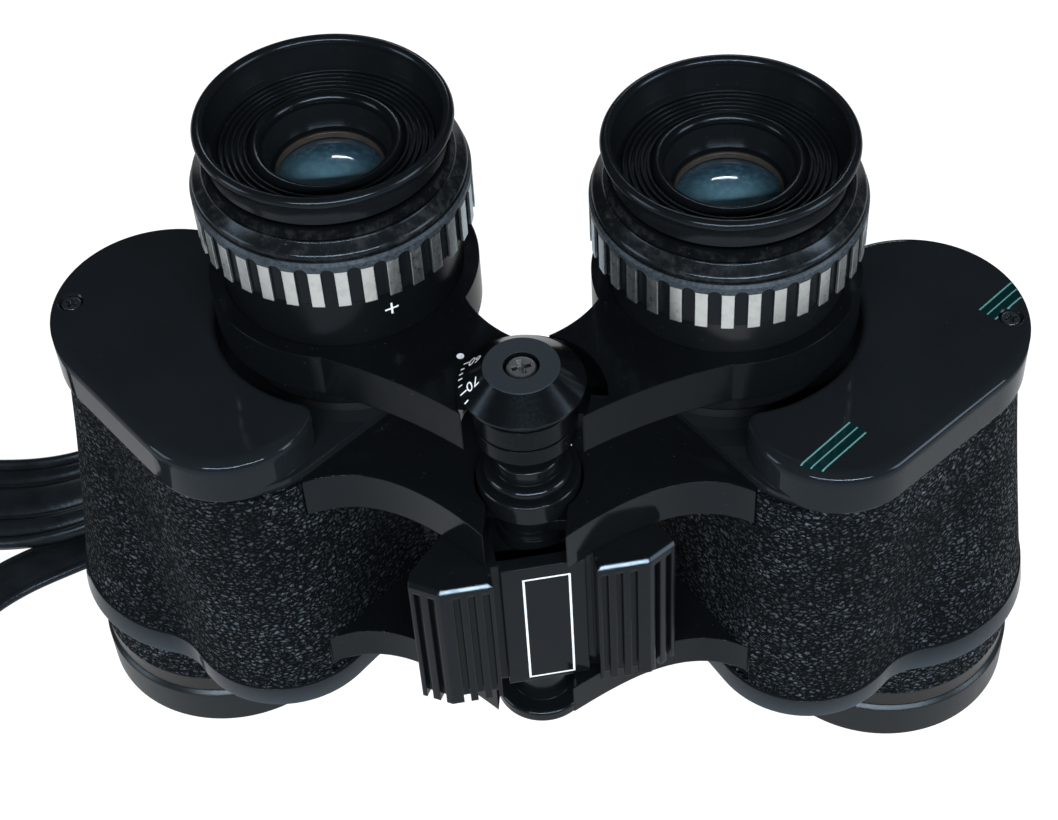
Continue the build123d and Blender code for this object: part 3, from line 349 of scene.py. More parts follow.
# Finishes, each a function of the point on the piece that gives what changes over its surface
def enamel(level, gloss, grain=0.35, edge=0.3, dust=0.3, peel=0.15, marks=None, crown=None):
    """Black enamel: faint orange peel, uneven gloss, fine dust, softened edges and any print or painted
    light over it.
    """
    def paint(place):
        patches = noise(place, 14.0, 4.0)
        specks = ramp(noise(place, 0.45, 2.0, 0.7), 0.70, 0.78)
        colour = mix(patches, grey(level * 0.8, COOL), grey(level * 1.2, COOL))
        colour = mix(specks * dust, colour, grey(0.10, DUST))
        rough = ramp(noise(place, 3.0, 5.0, 0.65), 0.3, 0.75, gloss - 0.02, gloss + 0.04) + specks * 0.2
        if marks:
            colour = marks(place, colour)
        normal = worn_edge(place, edge)
        if crown:
            normal = rounded_over(normal, place, *crown)
        return {
            "Base_Color": colour,
            "Roughness": rough,
            "Normal": bump(noise(place, grain, 2.0), peel, 0.03, normal),
        }
    return paint


def leatherette(place):
    """Pebble grain: short wavy lumps lying level, of uneven tone, with pale tops as painted highlight and
    black creases as painted shade.
    """
    lying = place.node("VectorMath", {"operation": "MULTIPLY"}, i0=place, i1=(0.72, 0.72, 1.1))
    warp = noise(place, 1.5, 3.0, out="Color")
    sway = (1.7 * MM, 1.7 * MM, 1.7 * MM)
    bent = place.node("VectorMath", {"operation": "MULTIPLY_ADD"}, i0=warp, i1=sway, i2=lying)
    crease = cells(bent, 0.9, "DISTANCE_TO_EDGE")
    shade = cells(bent, 0.9, out="Color")["X"]
    pores = noise(place, 0.55, 3.0, 0.7)
    top = ramp(crease, 0.06, 0.3)
    patches = ramp(noise(place, 16.0, 3.0), 0.35, 0.68, 1.0, 0.4)
    # Pebble tops painted pale as a painted highlight, creases left near black as painted shade; each pebble
    # and patch also varies at random in tone
    tone_and_painted_highlight = top * ramp(pores, 0.38, 0.6, 0.08, 1.0) * (shade * 0.6 + 0.4) * patches
    return {
        "Base_Color": mix(tone_and_painted_highlight, grey(0.0008, COOL), grey(0.1, COOL)),
        "Roughness": ramp(top, 0.0, 1.0, 0.85, 0.4),
        "Normal": bump(top * 0.8 + pores * 0.6, 1.0, 0.5),
    }


def bright(level, gloss, tint=(1.0, 1.0, 1.0)):
    """Turned or plated metal with fine tool marks."""
    def paint(place):
        brushed = noise(place, 0.4, 3.0)
        return {
            "Base_Color": mix(brushed, grey(level * 0.85, tint), grey(level, tint)),
            "Roughness": ramp(brushed, 0.3, 0.7, gloss, gloss + 0.12),
            "Normal": worn_edge(place, 0.15),
        }
    return paint


def ring_paint(x, rise):
    """Black ring whose raised flats are turned bright."""
    def paint(place):
        outer = from_axis(place, x, EYE_Y) > RING_FLATS_RADIUS
        silver = outer * (height_of(place) < RING_FLATS_TOP + rise)
        band = outer * (height_of(place) > RING_FLATS_TOP + rise)
        grain = noise(place, 0.5, 4.0, 0.6)
        worn = ramp(noise(place, 1.6, 4.0), 0.3, 0.6, 0.72, 0.82)
        plated = worn.node("CombineColor", Red=worn * 0.98, Green=worn, Blue=worn * 0.97)
        black = mix(band * ramp(grain, 0.35, 0.65, 0.4, 1.0), grey(0.004, COOL), grey(0.04, COOL))
        return {
            "Base_Color": mix(silver, black, plated),
            "Metallic": silver,
            "Roughness": ramp(grain, 0.3, 0.7, 0.27, 0.38),
            "Normal": bump(grain, 0.1, 0.03, worn_edge(place, 0.15)),
        }
    return paint


LENS_LIGHT_FADE = (-9.0, 6.0)
LENS_EDGE_RADIUS = 8.55


def lens_paint(place):
    """Coated eye lens: dusky blue green, dusty, and painted paler towards the front of the glass as painted
    light.
    """
    # Glass painted paler towards its front: painted light
    front = ramp(place["Y"] * PER_METRE - (EYE_Y + HINGE_Y), *LENS_LIGHT_FADE, 1.0, 0.0)
    film = noise(place, 1.2, 5.0, 0.7)
    specks = ramp(noise(place, 0.35, 2.0, 0.7), 0.66, 0.76)
    colour = mix(front, LENS_DEEP, LENS_LIT_FRONT)
    colour = mix(ramp(film, 0.4, 0.75) * 0.4, colour, LENS_FILM)
    return {
        "Base_Color": mix(specks * 0.3, colour, grey(0.3, COOL)),
        "Roughness": ramp(film, 0.3, 0.7, 0.05, 0.12),
    }


def cell_paint(x):
    """Black ocular cell with a thin bronze edge round the glass."""
    def paint(place):
        edge = from_axis(place, x, EYE_Y) < LENS_EDGE_RADIUS
        worn = noise(place, 1.5, 3.0)
        bronze = mix(worn, BRONZE_DARK, BRONZE_WORN)
        return {
            "Base_Color": mix(edge, grey(0.004, COOL), bronze),
            "Roughness": ramp(worn, 0.3, 0.7, 0.3, 0.34),
            "Normal": worn_edge(place, 0.15),
        }
    return paint


def objective_paint(place):
    """Coated front lens: deep blue violet."""
    return {
        "Base_Color": mix(noise(place, 9.0), OBJECTIVE_DEEP, OBJECTIVE_VIOLET),
        "Roughness": ramp(noise(place, 3.0), 0.3, 0.7, 0.03, 0.07),
    }


def strap_hide(place):
    """Supple black synthetic leather: fine creases and a soft sheen."""
    creases = cells(place, 0.9, "SMOOTH_F1")
    folds = noise(place, 5.0, 4.0)
    return {
        "Base_Color": mix(folds, grey(0.004, COOL), grey(0.011, COOL)),
        "Roughness": ramp(folds, 0.3, 0.7, 0.26, 0.36),
        "Normal": bump((1.0 - creases) * 0.6 + folds * 0.5, 0.5, 0.12),
    }


def cap_paint(place):
    """Glossy black cone under a satin top face."""
    face = height_of(place) > CAP_TOP - CAP_FACE_DEPTH
    worn = noise(place, 0.5, 4.0, 0.65)
    satin = mix(worn, grey(0.014, COOL), grey(0.024, COOL))
    return {
        "Base_Color": mix(face, grey(0.003, COOL), satin),
        "Roughness": ramp(worn, 0.3, 0.7, 0.14, 0.2) + face * 0.3,
        "Normal": bump(worn, 0.12, 0.03, worn_edge(place, 0.18)),
    }


def white_print(place):
    return {
        "Base_Color": mix(noise(place, 0.6), grey(0.7), grey(0.82)),
        "Roughness": ramp(noise(place, 0.4), 0.3, 0.7, 0.5, 0.65),
    }


def sheen(level, tint=COLD_SHEEN):
    """How strongly a finish mirrors, where 0.5 is as much as glass, and the tint of what it mirrors."""
    return {"Specular_IOR_Level": level, "Specular_Tint": tint}


SATIN = sheen(0.19)
PLATE = sheen(0.155)
RUBBER = sheen(0.18)
METAL = {"Metallic": 1.0}
PLATE_COAT = {"grain": 0.3, "dust": 0.35, "peel": 0.02, "crown": (PLATE_TOP, 3.6)}

FINISHES = {
    # The castings are painted greyer towards the table as painted light from it
    "body_paint": (enamel(0.004, 0.1, peel=0.1, marks=table_glow_foot), SATIN),
    "left_plate": (enamel(0.009, 0.06, **PLATE_COAT), PLATE),
    "right_plate": (enamel(0.009, 0.06, marks=plate_stripes, **PLATE_COAT), PLATE),
    "bridge_paint": (enamel(0.003, 0.17, dust=0.4, peel=0.1), sheen(0.11)),
    "cap_paint": (cap_paint, RUBBER),
    "barrel_paint": (enamel(0.004, 0.24, edge=0.5), {"Specular_IOR_Level": 0.4}),
    "bezel_paint": (enamel(0.006, 0.3, edge=0.6), sheen(0.26, PALE_SHEEN)),
    "left_sleeve": (enamel(0.003, 0.24, marks=plus_mark), SATIN),
    "grained_covering": (leatherette, sheen(0.09)),
    "gloss_black": (enamel(0.004, 0.14), {"Coat_Weight": 0.1, "Coat_Roughness": 0.05, **SATIN}),
    "rocker_plastic": (enamel(0.005, 0.1, edge=0.45, peel=0.1, marks=rocker_frame), PLATE),
    "inner_metal": (enamel(0.006, 0.5), {}),
    "blackened_steel": (enamel(0.012, 0.25), {}),
    "strap_webbing": (strap_hide, sheen(0.3)),
    "bright_steel": (bright(0.5, 0.22), METAL),
    "cap_screw_steel": (bright(0.2, 0.3), METAL),
    "spindle_brass": (bright(0.5, 0.28, BRASS), METAL),
    "eye_glass": (lens_paint, {"Coat_Weight": 0.6, "Coat_Roughness": 0.03}),
    "throat_gloss": (enamel(0.003, 0.2), SATIN),
    "coated_glass": (objective_paint, {"Coat_Weight": 0.5}),
    "prism_glass": (objective_paint, {}),
    "white_print": (white_print, {}),
}
for side, (x, rise, _) in EYEPIECES.items():
    FINISHES[side + "_cup"] = (enamel(0.005, 0.17, grain=0.25, edge=0.2, marks=neck_dust(x, rise)), RUBBER)
    FINISHES[side + "_ring"] = (ring_paint(x, rise), RUBBER)
    FINISHES[side + "_cell"] = (cell_paint(x), {})
materials = {name: material(name, *finish) for name, finish in FINISHES.items()}

# Solids that have a finish of their own instead of the one named like their material slot
OWN_FINISH = {
    "left_ocular_sleeve": "left_sleeve",
    "dioptre_ring": "left_ring",
    "right_grip_ring": "right_ring",
    "hinge_cap": "cap_paint",
    "cap_screw": "cap_screw_steel",
    "hinge_nut": "body_paint",
    "focus_nut": "body_paint",
    "focus_spindle": "body_paint",
}
for side in EYEPIECES:
    OWN_FINISH[side + "_prism_cover"] = side + "_plate"
    OWN_FINISH[side + "_bridge_arm"] = "bridge_paint"
    OWN_FINISH[side + "_eyecup"] = side + "_cup"
    OWN_FINISH[side + "_ocular_cell"] = side + "_cell"
    OWN_FINISH[side + "_eye_lens"] = "eye_glass"
    OWN_FINISH[side + "_objective_bezel"] = "bezel_paint"

slots = {s["node"]: s["material_slot"] for s in frame["record"]["subparts"]}
for name, part in nodes.items():
    part.data.materials.clear()
    part.data.materials.append(materials[OWN_FINISH.get(name, slots[name])])


def piece(name, verts, faces, finish, body, slot, smooth=True):
    """A mesh given in shared-frame metres, as a piece that rides on a body."""
    mesh = bpy.data.meshes.new(name)
    mesh.from_pydata([tuple(v) for v in verts], [], faces)
    shaped = bmesh.new()
    shaped.from_mesh(mesh)
    bmesh.ops.recalc_face_normals(shaped, faces=shaped.faces)
    shaped.to_mesh(mesh)
    shaped.free()
    mesh.polygons.foreach_set("use_smooth", [smooth] * len(mesh.polygons))
    made = bpy.data.objects.new(name, mesh)
    scene.collection.objects.link(made)
    made.data.materials.append(materials[finish])
    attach(made, body)
    return made


def lofted(rows):
    """Points and faces of a skin over rows of equally many points, with both ends closed."""
    width = len(rows[0])
    faces = []
    for k in range(len(rows) - 1):
        low, high = k * width, (k + 1) * width
        for j in range(width):
            n = (j + 1) % width
            faces.append((low + j, low + n, high + n, high + j))
    faces.append(tuple(reversed(range(width))))
    faces.append(tuple(range((len(rows) - 1) * width, len(rows) * width)))
    return [p for row in rows for p in row], faces


def turned(x, y, rise, profile, steps=120):
    """Points and faces of a ring swept round an upright axis by a profile of radius and level."""
    width = len(profile)
    verts, faces = [], []
    for k in range(steps):
        turn = 2 * math.pi * k / steps
        verts += [at(x + r * math.cos(turn), y + r * math.sin(turn), z + rise) for r, z in profile]
        low, high = k * width, (k + 1) % steps * width
        faces += [(low + j, low + (j + 1) % width, high + (j + 1) % width, high + j) for j in range(width)]
    return verts, faces


# Spacing scale printed on the cap's cone, with its index dot on the left bridge arm
CONE_IN = CAP_BASE_RADIUS - CAP_RIM_RADIUS
CONE_RISE = CAP_TOP - CAP_BASE_LEVEL
CONE_RUN = math.hypot(CONE_IN, CONE_RISE)
PRINT_LIFT = 0.04
FIGURE_SIZE = 2.6
FIGURE_FOOT = 1.6
FIGURE_RADIUS = 8.3
FIGURES = {"60": 162.0, "70": 199.3}
TICK_RADIUS = 9.4
TICK_HALF_WIDTH = 0.13
TICK_FOOT = 0.12
LONG_TICK = 1.5
SHORT_TICK = 0.95
TICKS = {
    161: LONG_TICK,
    168.5: SHORT_TICK,
    175: SHORT_TICK,
    181.5: SHORT_TICK,
    190: SHORT_TICK,
    200: LONG_TICK,
    211: SHORT_TICK,
}
DOT_X = -10.3
DOT_Y = 7.7
DOT_RADIUS = 0.6
DOT_CORNERS = 24


def on_cone(turn, up):
    """Point just over the cap's cone, up millimetres from its lower edge."""
    radius = CAP_BASE_RADIUS - CONE_IN * up / CONE_RUN + PRINT_LIFT * CONE_RISE / CONE_RUN
    level = CAP_BASE_LEVEL + CONE_RISE * up / CONE_RUN + PRINT_LIFT * CONE_IN / CONE_RUN
    return at(radius * math.cos(turn), radius * math.sin(turn), level)


def figures(text, degrees):
    """A number that reads outwards down the cone, its last figure lowest."""
    data = bpy.data.curves.new("figures", "FONT")
    data.body = text
    data.size = FIGURE_SIZE
    data.resolution_u = 4
    written = bpy.data.objects.new("figures", data)
    mesh = bpy.data.meshes.new_from_object(written)
    spots = [v.co for v in mesh.vertices]
    reach = max(spot.x for spot in spots)
    middle = max(spot.y for spot in spots) / 2
    turn = math.radians(degrees)
    verts = [on_cone(turn + (s.y - middle) / FIGURE_RADIUS, FIGURE_FOOT + reach - s.x) for s in spots]
    faces = [tuple(p.vertices) for p in mesh.polygons]
    bpy.data.objects.remove(written)
    return verts, faces


def tick(degrees, length):
    """A short mark up the cone from its lower edge."""
    turn = math.radians(degrees)
    half = TICK_HALF_WIDTH / TICK_RADIUS
    corners = ((-half, TICK_FOOT), (half, TICK_FOOT), (half, length), (-half, length))
    return [on_cone(turn + aside, up) for aside, up in corners], [(0, 1, 2, 3)]


scale_marks = [figures(text, degrees) for text, degrees in FIGURES.items()]
scale_marks += [tick(degrees, length) for degrees, length in TICKS.items()]
scale_verts, scale_faces = [], []
for verts, faces in scale_marks:
    start = len(scale_verts)
    scale_verts += verts
    scale_faces += [tuple(start + k for k in face) for face in faces]
scale_skin = (scale_verts, scale_faces)
piece("spacing_scale", *scale_skin, "white_print", "right_carriage", "body_paint", smooth=False)

dot_turns = [2 * math.pi * k / DOT_CORNERS for k in range(DOT_CORNERS)]
dot_verts = [
    at(DOT_X + DOT_RADIUS * math.cos(turn), DOT_Y + DOT_RADIUS * math.sin(turn), BRIDGE_TOP + PRINT_LIFT)
    for turn in dot_turns
]
dot_face = tuple(range(DOT_CORNERS))
piece("index_dot", dot_verts, [dot_face], "white_print", "left_carriage", "body_paint", smooth=False)


# Eyecup trim: a flat dusty shoulder creased against the neck, and a round lip on the throat
SHOULDER = [
    (18.5, 5.4), (18.66, 4.8), (18.78, 4.2), (18.96, 3.6), (19.2, 3.15), (19.5, 2.8),
    (21.05, 1.4), (21.3, 1.2), (21.42, 0.95), (21.45, 0.25), (20.6, 0.25),
]
LIP_RADIUS = 11.15
LIP_ROUND = 1.1
LIP_LEVEL = CUP_FLOOR - 0.55
LIP_CORNERS = 20

shoulder_ring = [(r, RING_TOP + z) for r, z in SHOULDER]
lip_turns = [2 * math.pi * k / LIP_CORNERS for k in range(LIP_CORNERS)]
lip_ring = [(LIP_RADIUS + LIP_ROUND * math.cos(t), LIP_LEVEL + LIP_ROUND * math.sin(t)) for t in lip_turns]
for side, (x, rise, body) in EYEPIECES.items():
    shoulder = turned(x, EYE_Y, rise, shoulder_ring)
    piece(side + "_cup_shoulder", *shoulder, side + "_cup", body, "eyecup_plastic")
    lip = turned(x, EYE_Y, rise, lip_ring)
    piece(side + "_throat_lip", *lip, "throat_gloss", body, "eyecup_plastic")


# Neck strap: a narrow flat band through a ridged shoulder pad, its spare length coiled
STRAP_WIDTH = 10.0
STRAP_LOW = 1.4
STRAP_CROSSING = 2.5
LEFT_RUN = [
    (-72.83, 47.57, 60.4), (-73, 49.4, 48), (-75.2, 52.8, 33.4), (-80.4, 54.2, 19.6), (-90.8, 52.8, 9),
    (-104.4, 52.3, 3.4), (-119, 52.0, 2.4), (-135, 53.6, 2.2), (-149, 58, STRAP_LOW),
]
RIGHT_RUN = [
    (-122.2, 5, 3.2), (-119.5, 20.5, 1.7), (-110.5, 33, STRAP_LOW), (-96.5, 42, STRAP_LOW),
    (-80, 51, STRAP_LOW), (-62, 58, STRAP_LOW), (-45, 61.5, STRAP_LOW),
]
COIL_CENTRE = (-186.0, 6.0)
COIL_OUTER = 57.4
COIL_INNER = 46.6
COIL_UPPER = 52.0
COIL_ENTRY = 2.5
COIL_EXIT = 8.0
COIL_START = 75
COIL_STEP = 24
COIL_STEPS = 42

# Degrees round the coil from and to which it changes its radius or its level
COIL_ENTERS = (100, COIL_START)
COIL_MOVES_IN = (340, 400)
COIL_RISES = (685, 725)
COIL_MOVES_BACK = (760, 820)
COIL_LEAVES = (1000, 1060)


def gone(value, low, high):
    """Share of the way from low to high, from 0 to 1."""
    return min(1.0, max(0.0, (value - low) / (high - low)))


def coil_point(degrees):
    """Two turns side by side, then a part turn lying on them that leaves over the outer one."""
    radius = COIL_OUTER + COIL_ENTRY * gone(degrees, *COIL_ENTERS)
    radius += (COIL_INNER - COIL_OUTER) * gone(degrees, *COIL_MOVES_IN)
    radius += (COIL_UPPER - COIL_INNER) * gone(degrees, *COIL_MOVES_BACK)
    radius += COIL_EXIT * gone(degrees, *COIL_LEAVES)
    height = STRAP_LOW + STRAP_CROSSING * gone(degrees, *COIL_RISES)
    turn = math.radians(degrees)
    return (COIL_CENTRE[0] + radius * math.cos(turn), COIL_CENTRE[1] + radius * math.sin(turn), height)


COIL = [coil_point(COIL_START + COIL_STEP * step) for step in range(COIL_STEPS)]
ROUTE = LEFT_RUN + COIL + RIGHT_RUN


def route_line(points):
    """Points along the smooth line that has the route's points as its control points."""
    data = bpy.data.curves.new("route", "CURVE")
    data.dimensions = "3D"
    data.resolution_u = 8
    spline = data.splines.new("NURBS")
    spline.points.add(len(points) - 1)
    for target, spot in zip(spline.points, points):
        target.co = (*at(*spot), 1.0)
    spline.order_u = 3
    spline.use_endpoint_u = True
    route = bpy.data.objects.new("route", data)
    line = [v.co.copy() for v in bpy.data.meshes.new_from_object(route).vertices]
    bpy.data.objects.remove(route)
    return line


LUG_TURN = math.radians(62)
LUG_OUT = Vector((-math.cos(LUG_TURN), math.sin(LUG_TURN), 0))
LUG_ALONG = Vector((LUG_OUT.y, -LUG_OUT.x, 0))
TWIST_LEVELS = (14.0, 48.0)
strap_line = route_line(ROUTE)
strap_length = sum((b - a).length for a, b in zip(strap_line, strap_line[1:]))
on_left = len(strap_line) * len(LEFT_RUN) // len(ROUTE)


def heading(line, k):
    """Direction of a line at its point k."""
    return (line[min(k + 1, len(line) - 1)] - line[max(k - 1, 0)]).normalized()


def along_strap(k):
    """Point, sideways and outward directions of the band, which turns from the lug's slot to lie flat."""
    ahead = heading(strap_line, k)
    flat = UP.cross(ahead).normalized()
    share = gone(strap_line[k].z / MM, *TWIST_LEVELS) if k < on_left else 0.0
    share = share * share * (3 - 2 * share)
    aside = flat.lerp(-LUG_ALONG, share)
    aside = (aside - ahead * aside.dot(ahead)).normalized()
    return strap_line[k], aside, ahead.cross(aside)


def mirrored(half):
    """A half section, from its edge to its middle, with its other half added."""
    return half + [(-w, h) for w, h in reversed(half[:-1])]


HALF_BAND = [
    (STRAP_WIDTH / 2, 0.0), (4.85, 0.6), (4.4, 0.95), (3.9, 0.98),
    (3.65, 0.8), (3.4, 1.0), (1.5, 1.05), (0.0, 1.08),
]
BAND_UNDER = 0.9
BAND_TOP = mirrored(HALF_BAND)
BAND_RING = BAND_TOP + [(w, -h * BAND_UNDER) for w, h in reversed(BAND_TOP[1:-1])]
strap_rows = []
for k in range(len(strap_line)):
    spot, aside, out = along_strap(k)
    strap_rows.append([spot + aside * w * MM + out * h * MM for w, h in BAND_RING])
strap = piece("strap", *lofted(strap_rows), "strap_webbing", "left_half", "strap_webbing")
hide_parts("strap_left", "strap_right", "strap_coil")

# Shoulder pad: raised beads along both edges and three soft ribs between them, tapered at its ends
HALF_PAD = [
    (11.5, 0.25), (11.2, 1.05), (10.5, 1.5), (9.7, 1.3), (9.1, 0.4), (8.4, 0.9),
    (6.6, 1.6), (5.0, 1.3), (4.3, 0.4), (3.6, 1.1), (1.8, 1.7), (0.0, 1.75),
]
PAD_FROM = -133.5
PAD_TO = -84.5
PAD_TAPER = 5.0
PAD_END_WIDTH = 0.6
PAD_THINNING = 0.2
PAD_UNDER_WIDTH = 0.96
PAD_BEAD_IN = 10.0
PAD_UNDER = 1.45
PAD_RIM_UNDER = 1.1
PAD_TOP = mirrored(HALF_PAD)
PAD_FLOOR = [
    (-w * PAD_UNDER_WIDTH, -PAD_UNDER if abs(w) < PAD_BEAD_IN else -PAD_RIM_UNDER) for w, h in PAD_TOP
]
PAD_RING = PAD_TOP + PAD_FLOOR
pad_span = [k for k in range(on_left) if PAD_FROM < strap_line[k].x / MM < PAD_TO]
pad_ends = (strap_line[pad_span[0]], strap_line[pad_span[-1]])
pad_rows = []
for k in pad_span:
    spot, aside, out = along_strap(k)
    from_end = min((spot - end).length for end in pad_ends) / MM
    wide = PAD_END_WIDTH + (1 - PAD_END_WIDTH) * math.sin(gone(from_end, 0.0, PAD_TAPER) * math.pi / 2)
    thick = 1 - PAD_THINNING * (1 - wide)
    pad_rows.append([spot + aside * w * wide * MM + out * h * thick * MM for w, h in PAD_RING])
pad = piece("shoulder_pad", *lofted(pad_rows), "strap_webbing", "left_half", "strap_webbing")
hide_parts("strap_pad")

# The strap's end looped up through the lug and back down, held by a keeper
LOOP = [
    (0, 1.0), (0, 2.4), (0.05, 3.8), (0.5, 5.0), (1.6, 5.8), (3.0, 5.7), (4.0, 4.7),
    (4.3, 3.2), (4.3, 1.2), (4.2, -1.0), (3.9, -4.0), (3.7, -7.0), (3.9, -10.0), (4.4, -13.0),
]
LOOP_RING = [
    (-4.9, 0.0), (-4.6, 0.7), (0, 0.8), (4.6, 0.7), (4.9, 0.0), (4.6, -0.7), (0, -0.8), (-4.6, -0.7),
]
KEEPER_OUT = 2.0
KEEPER_DROP = -7.0
KEEPER_RING = [
    (-6.2, -2.4), (-5.6, -3.3), (5.6, -3.3), (6.2, -2.4), (6.2, 2.6), (5.6, 3.5), (-5.6, 3.5), (-6.2, 2.6),
]
KEEPER_LEVELS = ((-2.6, 0.35), (-2.2, 0.0), (2.2, 0.0), (2.6, 0.35))
slot_mouth = at(*LEFT_RUN[0])


def from_slot(along, out, up):
    """Point in millimetres from the mouth of the lug's slot: along it, out from the body and up."""
    return slot_mouth + (LUG_ALONG * along + LUG_OUT * out + UP * up) * MM


def grown(value, grow):
    """A place moved away from the middle by grow millimetres."""
    return value + math.copysign(grow, value)


loop_line = [from_slot(0, out, up) for out, up in LOOP]
loop_rows = []
for k, spot in enumerate(loop_line):
    over = heading(loop_line, k).cross(LUG_ALONG).normalized()
    loop_rows.append([spot + LUG_ALONG * a * MM + over * b * MM for a, b in LOOP_RING])
strap_loop = piece("strap_loop", *lofted(loop_rows), "strap_webbing", "left_half", "strap_webbing")

keeper_rows = []
for up, grow in KEEPER_LEVELS:
    keeper_rows.append([
        from_slot(grown(a, grow), KEEPER_OUT + grown(b, grow), KEEPER_DROP + up) for a, b in KEEPER_RING
    ])
keeper_skin = lofted(keeper_rows)
keeper = piece("strap_keeper", *keeper_skin, "rocker_plastic", "left_half", "rocker_plastic", smooth=False)

# Tie round the coil
TIE_TURN = math.radians(215)
TIE_OUT = Vector((math.cos(TIE_TURN), math.sin(TIE_TURN), 0))
TIE_ALONG = Vector((-TIE_OUT.y, TIE_OUT.x, 0))
TIE_HALF_WIDTH = 4.0
TIE_THICK = 0.3
TIE_FOOT = 0.05
TIE_HALF_REACH = 11.0
TIE_RING = [
    (40.9, TIE_FOOT), (63.0, TIE_FOOT), (63.3, 1.4), (62.6, 3.0),
    (57.6, 5.1), (46.4, 5.1), (41.4, 3.0), (40.6, 1.4),
]


def tie_section(inset):
    """The tie's section, its points moved inwards by inset at its ends, top and foot."""
    section = []
    for r, z in TIE_RING:
        if z == TIE_FOOT:
            level = z + inset
        elif z > 2:
            level = z - inset
        else:
            level = z
        section.append((r - (r - COIL_UPPER) / TIE_HALF_REACH * inset, level))
    return section


coil_middle = at(*COIL_CENTRE, 0.0)
tie_verts = []
for shift in (-TIE_HALF_WIDTH, TIE_HALF_WIDTH):
    for inset in (0.0, TIE_THICK):
        tie_verts += [
            coil_middle + (TIE_OUT * r + TIE_ALONG * shift + UP * z) * MM for r, z in tie_section(inset)
        ]
corners = len(TIE_RING)
tie_faces = []
for j in range(corners):
    n = (j + 1) % corners
    for first, second in ((0, 2), (1, 3), (0, 1), (2, 3)):
        low, high = first * corners, second * corners
        tie_faces.append((low + j, low + n, high + n, high + j))
tie = piece("coil_tie", tie_verts, tie_faces, "strap_webbing", "left_half", "strap_webbing", smooth=False)

at(*LEFT_RUN[0])
nodes["strap_hook"]


# Camera fitted to the photograph
PHOTO_WIDTH = 1058
PHOTO_HEIGHT = 820
FOCAL_PX = 2147.69
AXIS_PX_X = 619.15
AXIS_PX_Y = 439.63
SENSOR = 36.0
PITCH = math.radians(48.63)
YAW = math.radians(3.02)
ROLL = math.radians(-1.24)
AIM = at(14.55, 0, 85.4)
DISTANCE = 335.8

view = bpy.data.cameras.new("camera")
camera = bpy.data.objects.new("camera", view)
scene.collection.objects.link(camera)
scene.camera = camera
back = Vector((math.sin(YAW) * math.cos(PITCH), -math.cos(YAW) * math.cos(PITCH), math.sin(PITCH)))
level_right = (-back).cross(UP).normalized()
upward = level_right.cross(-back)
right = level_right * math.cos(ROLL) + upward * math.sin(ROLL)
above = upward * math.cos(ROLL) - level_right * math.sin(ROLL)
facing = Matrix((right, above, back)).transposed().to_4x4()
camera.matrix_world = Matrix.Translation(AIM + back * DISTANCE * MM) @ facing
view.sensor_width = SENSOR
view.lens = FOCAL_PX / PHOTO_WIDTH * SENSOR
view.shift_x = (PHOTO_WIDTH / 2 - AXIS_PX_X) / PHOTO_WIDTH
view.shift_y = (AXIS_PX_Y - PHOTO_HEIGHT / 2) / PHOTO_WIDTH
view.clip_start = 0.01
view.clip_end = 20.0


# White table, plain to the camera and to gloss, and soft studio light
TABLE_HALF = 3.0
TABLE_DROP = -0.0002
TABLE_TINT = (0.96, 1.0, 1.02)
TABLE_PLAIN = 0.85
TABLE_GLOW = 1.2
SKY_GLOW = 0.05
LAMP_TINT = (0.9, 0.98, 1.06)


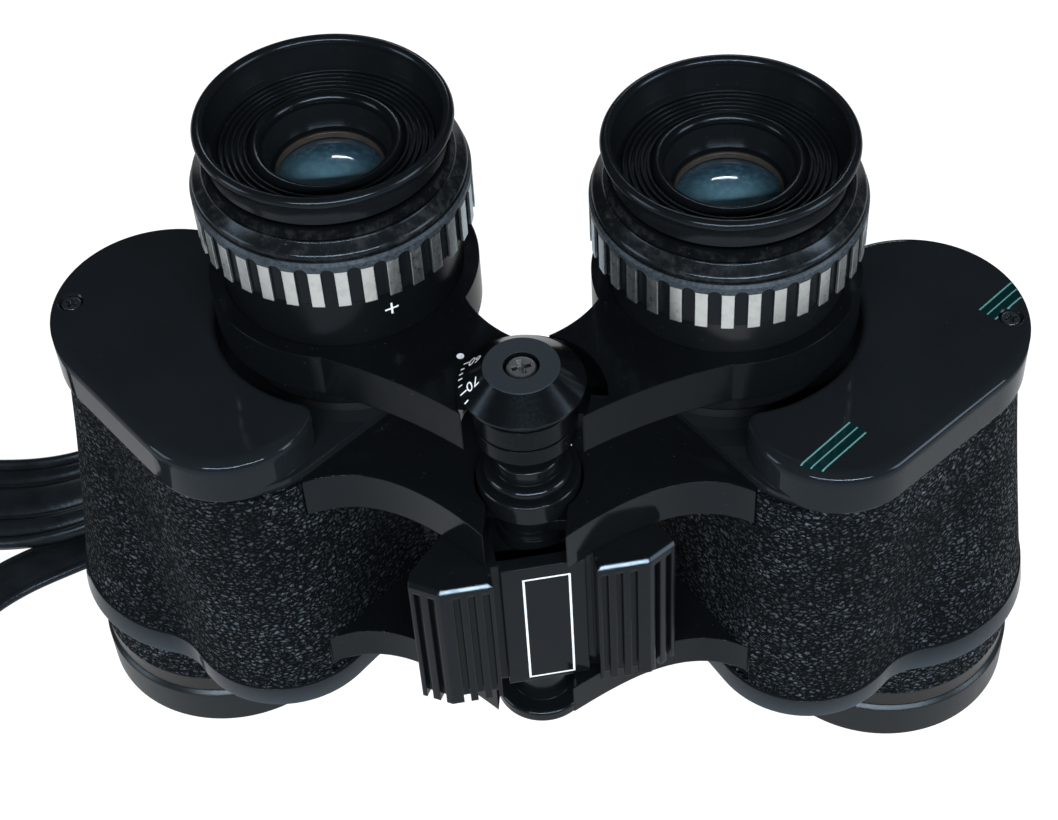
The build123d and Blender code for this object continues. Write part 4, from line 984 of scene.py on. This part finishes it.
def table_white():
    """White that keeps the object's shadow, and looks plain to the camera and in mirroring surfaces."""
    made = bpy.data.materials.new("table_white")
    tree = empty_tree(made)
    base = Shade(tree)
    place = base.node("TexCoord", out="Object")
    by_camera = base.node("LightPath", out="Is Camera Ray")
    by_gloss = base.node("LightPath", out="Is Glossy Ray")
    through_glass = base.node("LightPath", out="Is Transmission Ray")
    seen = (by_camera + by_gloss + through_glass) * TABLE_PLAIN
    patches = noise(place, 400.0, 2.0)
    lit = base.node("BsdfDiffuse", Color=mix(patches, grey(0.78, TABLE_TINT), grey(0.82, TABLE_TINT)))
    plain = base.node("Emission", Color=mix(by_camera, grey(0.54), grey(1.0)), Strength=TABLE_GLOW)
    final = base.node("MixShader", i0=seen, i1=lit, i2=plain)
    output = tree.nodes.new("ShaderNodeOutputMaterial")
    tree.links.new(final.socket, output.inputs[0])
    return made


table_mesh = bpy.data.meshes.new("table")
table_corners = [(-1, -1), (1, -1), (1, 1), (-1, 1)]
table_verts = [(x * TABLE_HALF, y * TABLE_HALF, TABLE_DROP) for x, y in table_corners]
table_mesh.from_pydata(table_verts, [], [(0, 1, 2, 3)])
table = bpy.data.objects.new("table", table_mesh)
scene.collection.objects.link(table)
table.data.materials.append(table_white())

world = bpy.data.worlds.new("studio")
scene.world = world
world_tree = empty_tree(world)
base = Shade(world_tree)
sky = base.node("Background", Color=grey(1.0, COOL), Strength=SKY_GLOW)
plain = base.node("Background", Color=grey(1.0), Strength=1.0)
shown = base.node("MixShader", i0=base.node("LightPath", out="Is Camera Ray"), i1=sky, i2=plain)
world_out = world_tree.nodes.new("ShaderNodeOutputWorld")
world_tree.links.new(shown.socket, world_out.inputs[0])


def softbox(name, place, aim, size, power):
    """A rectangular lamp at a place, turned towards the point that it is aimed at; in metres and watts."""
    data = bpy.data.lights.new(name, "AREA")
    data.shape = "RECTANGLE"
    data.size, data.size_y = size
    data.energy = power
    data.color = LAMP_TINT
    made = bpy.data.objects.new(name, data)
    scene.collection.objects.link(made)
    made.location = place
    made.rotation_mode = "QUATERNION"
    made.rotation_quaternion = (Vector(aim) - Vector(place)).to_track_quat("-Z", "Y")


softbox("front_strip", place=(0.15, -1.0, 0.82), aim=(0, 0, 0.06), size=(1.4, 0.05), power=30.0)
softbox("side_right", place=(1.0, -0.25, 0.5), aim=(0.12, 0, 0), size=(0.4, 0.5), power=6.0)
softbox("side_left", place=(-1.0, -0.3, 0.45), aim=(0, 0, 0.06), size=(0.4, 0.5), power=4.0)
softbox("window", place=(-0.07, 2.13, 1.41), aim=(0, 0, 0.1), size=(0.7, 0.13), power=5.0)

scene.view_settings.view_transform = "Standard"
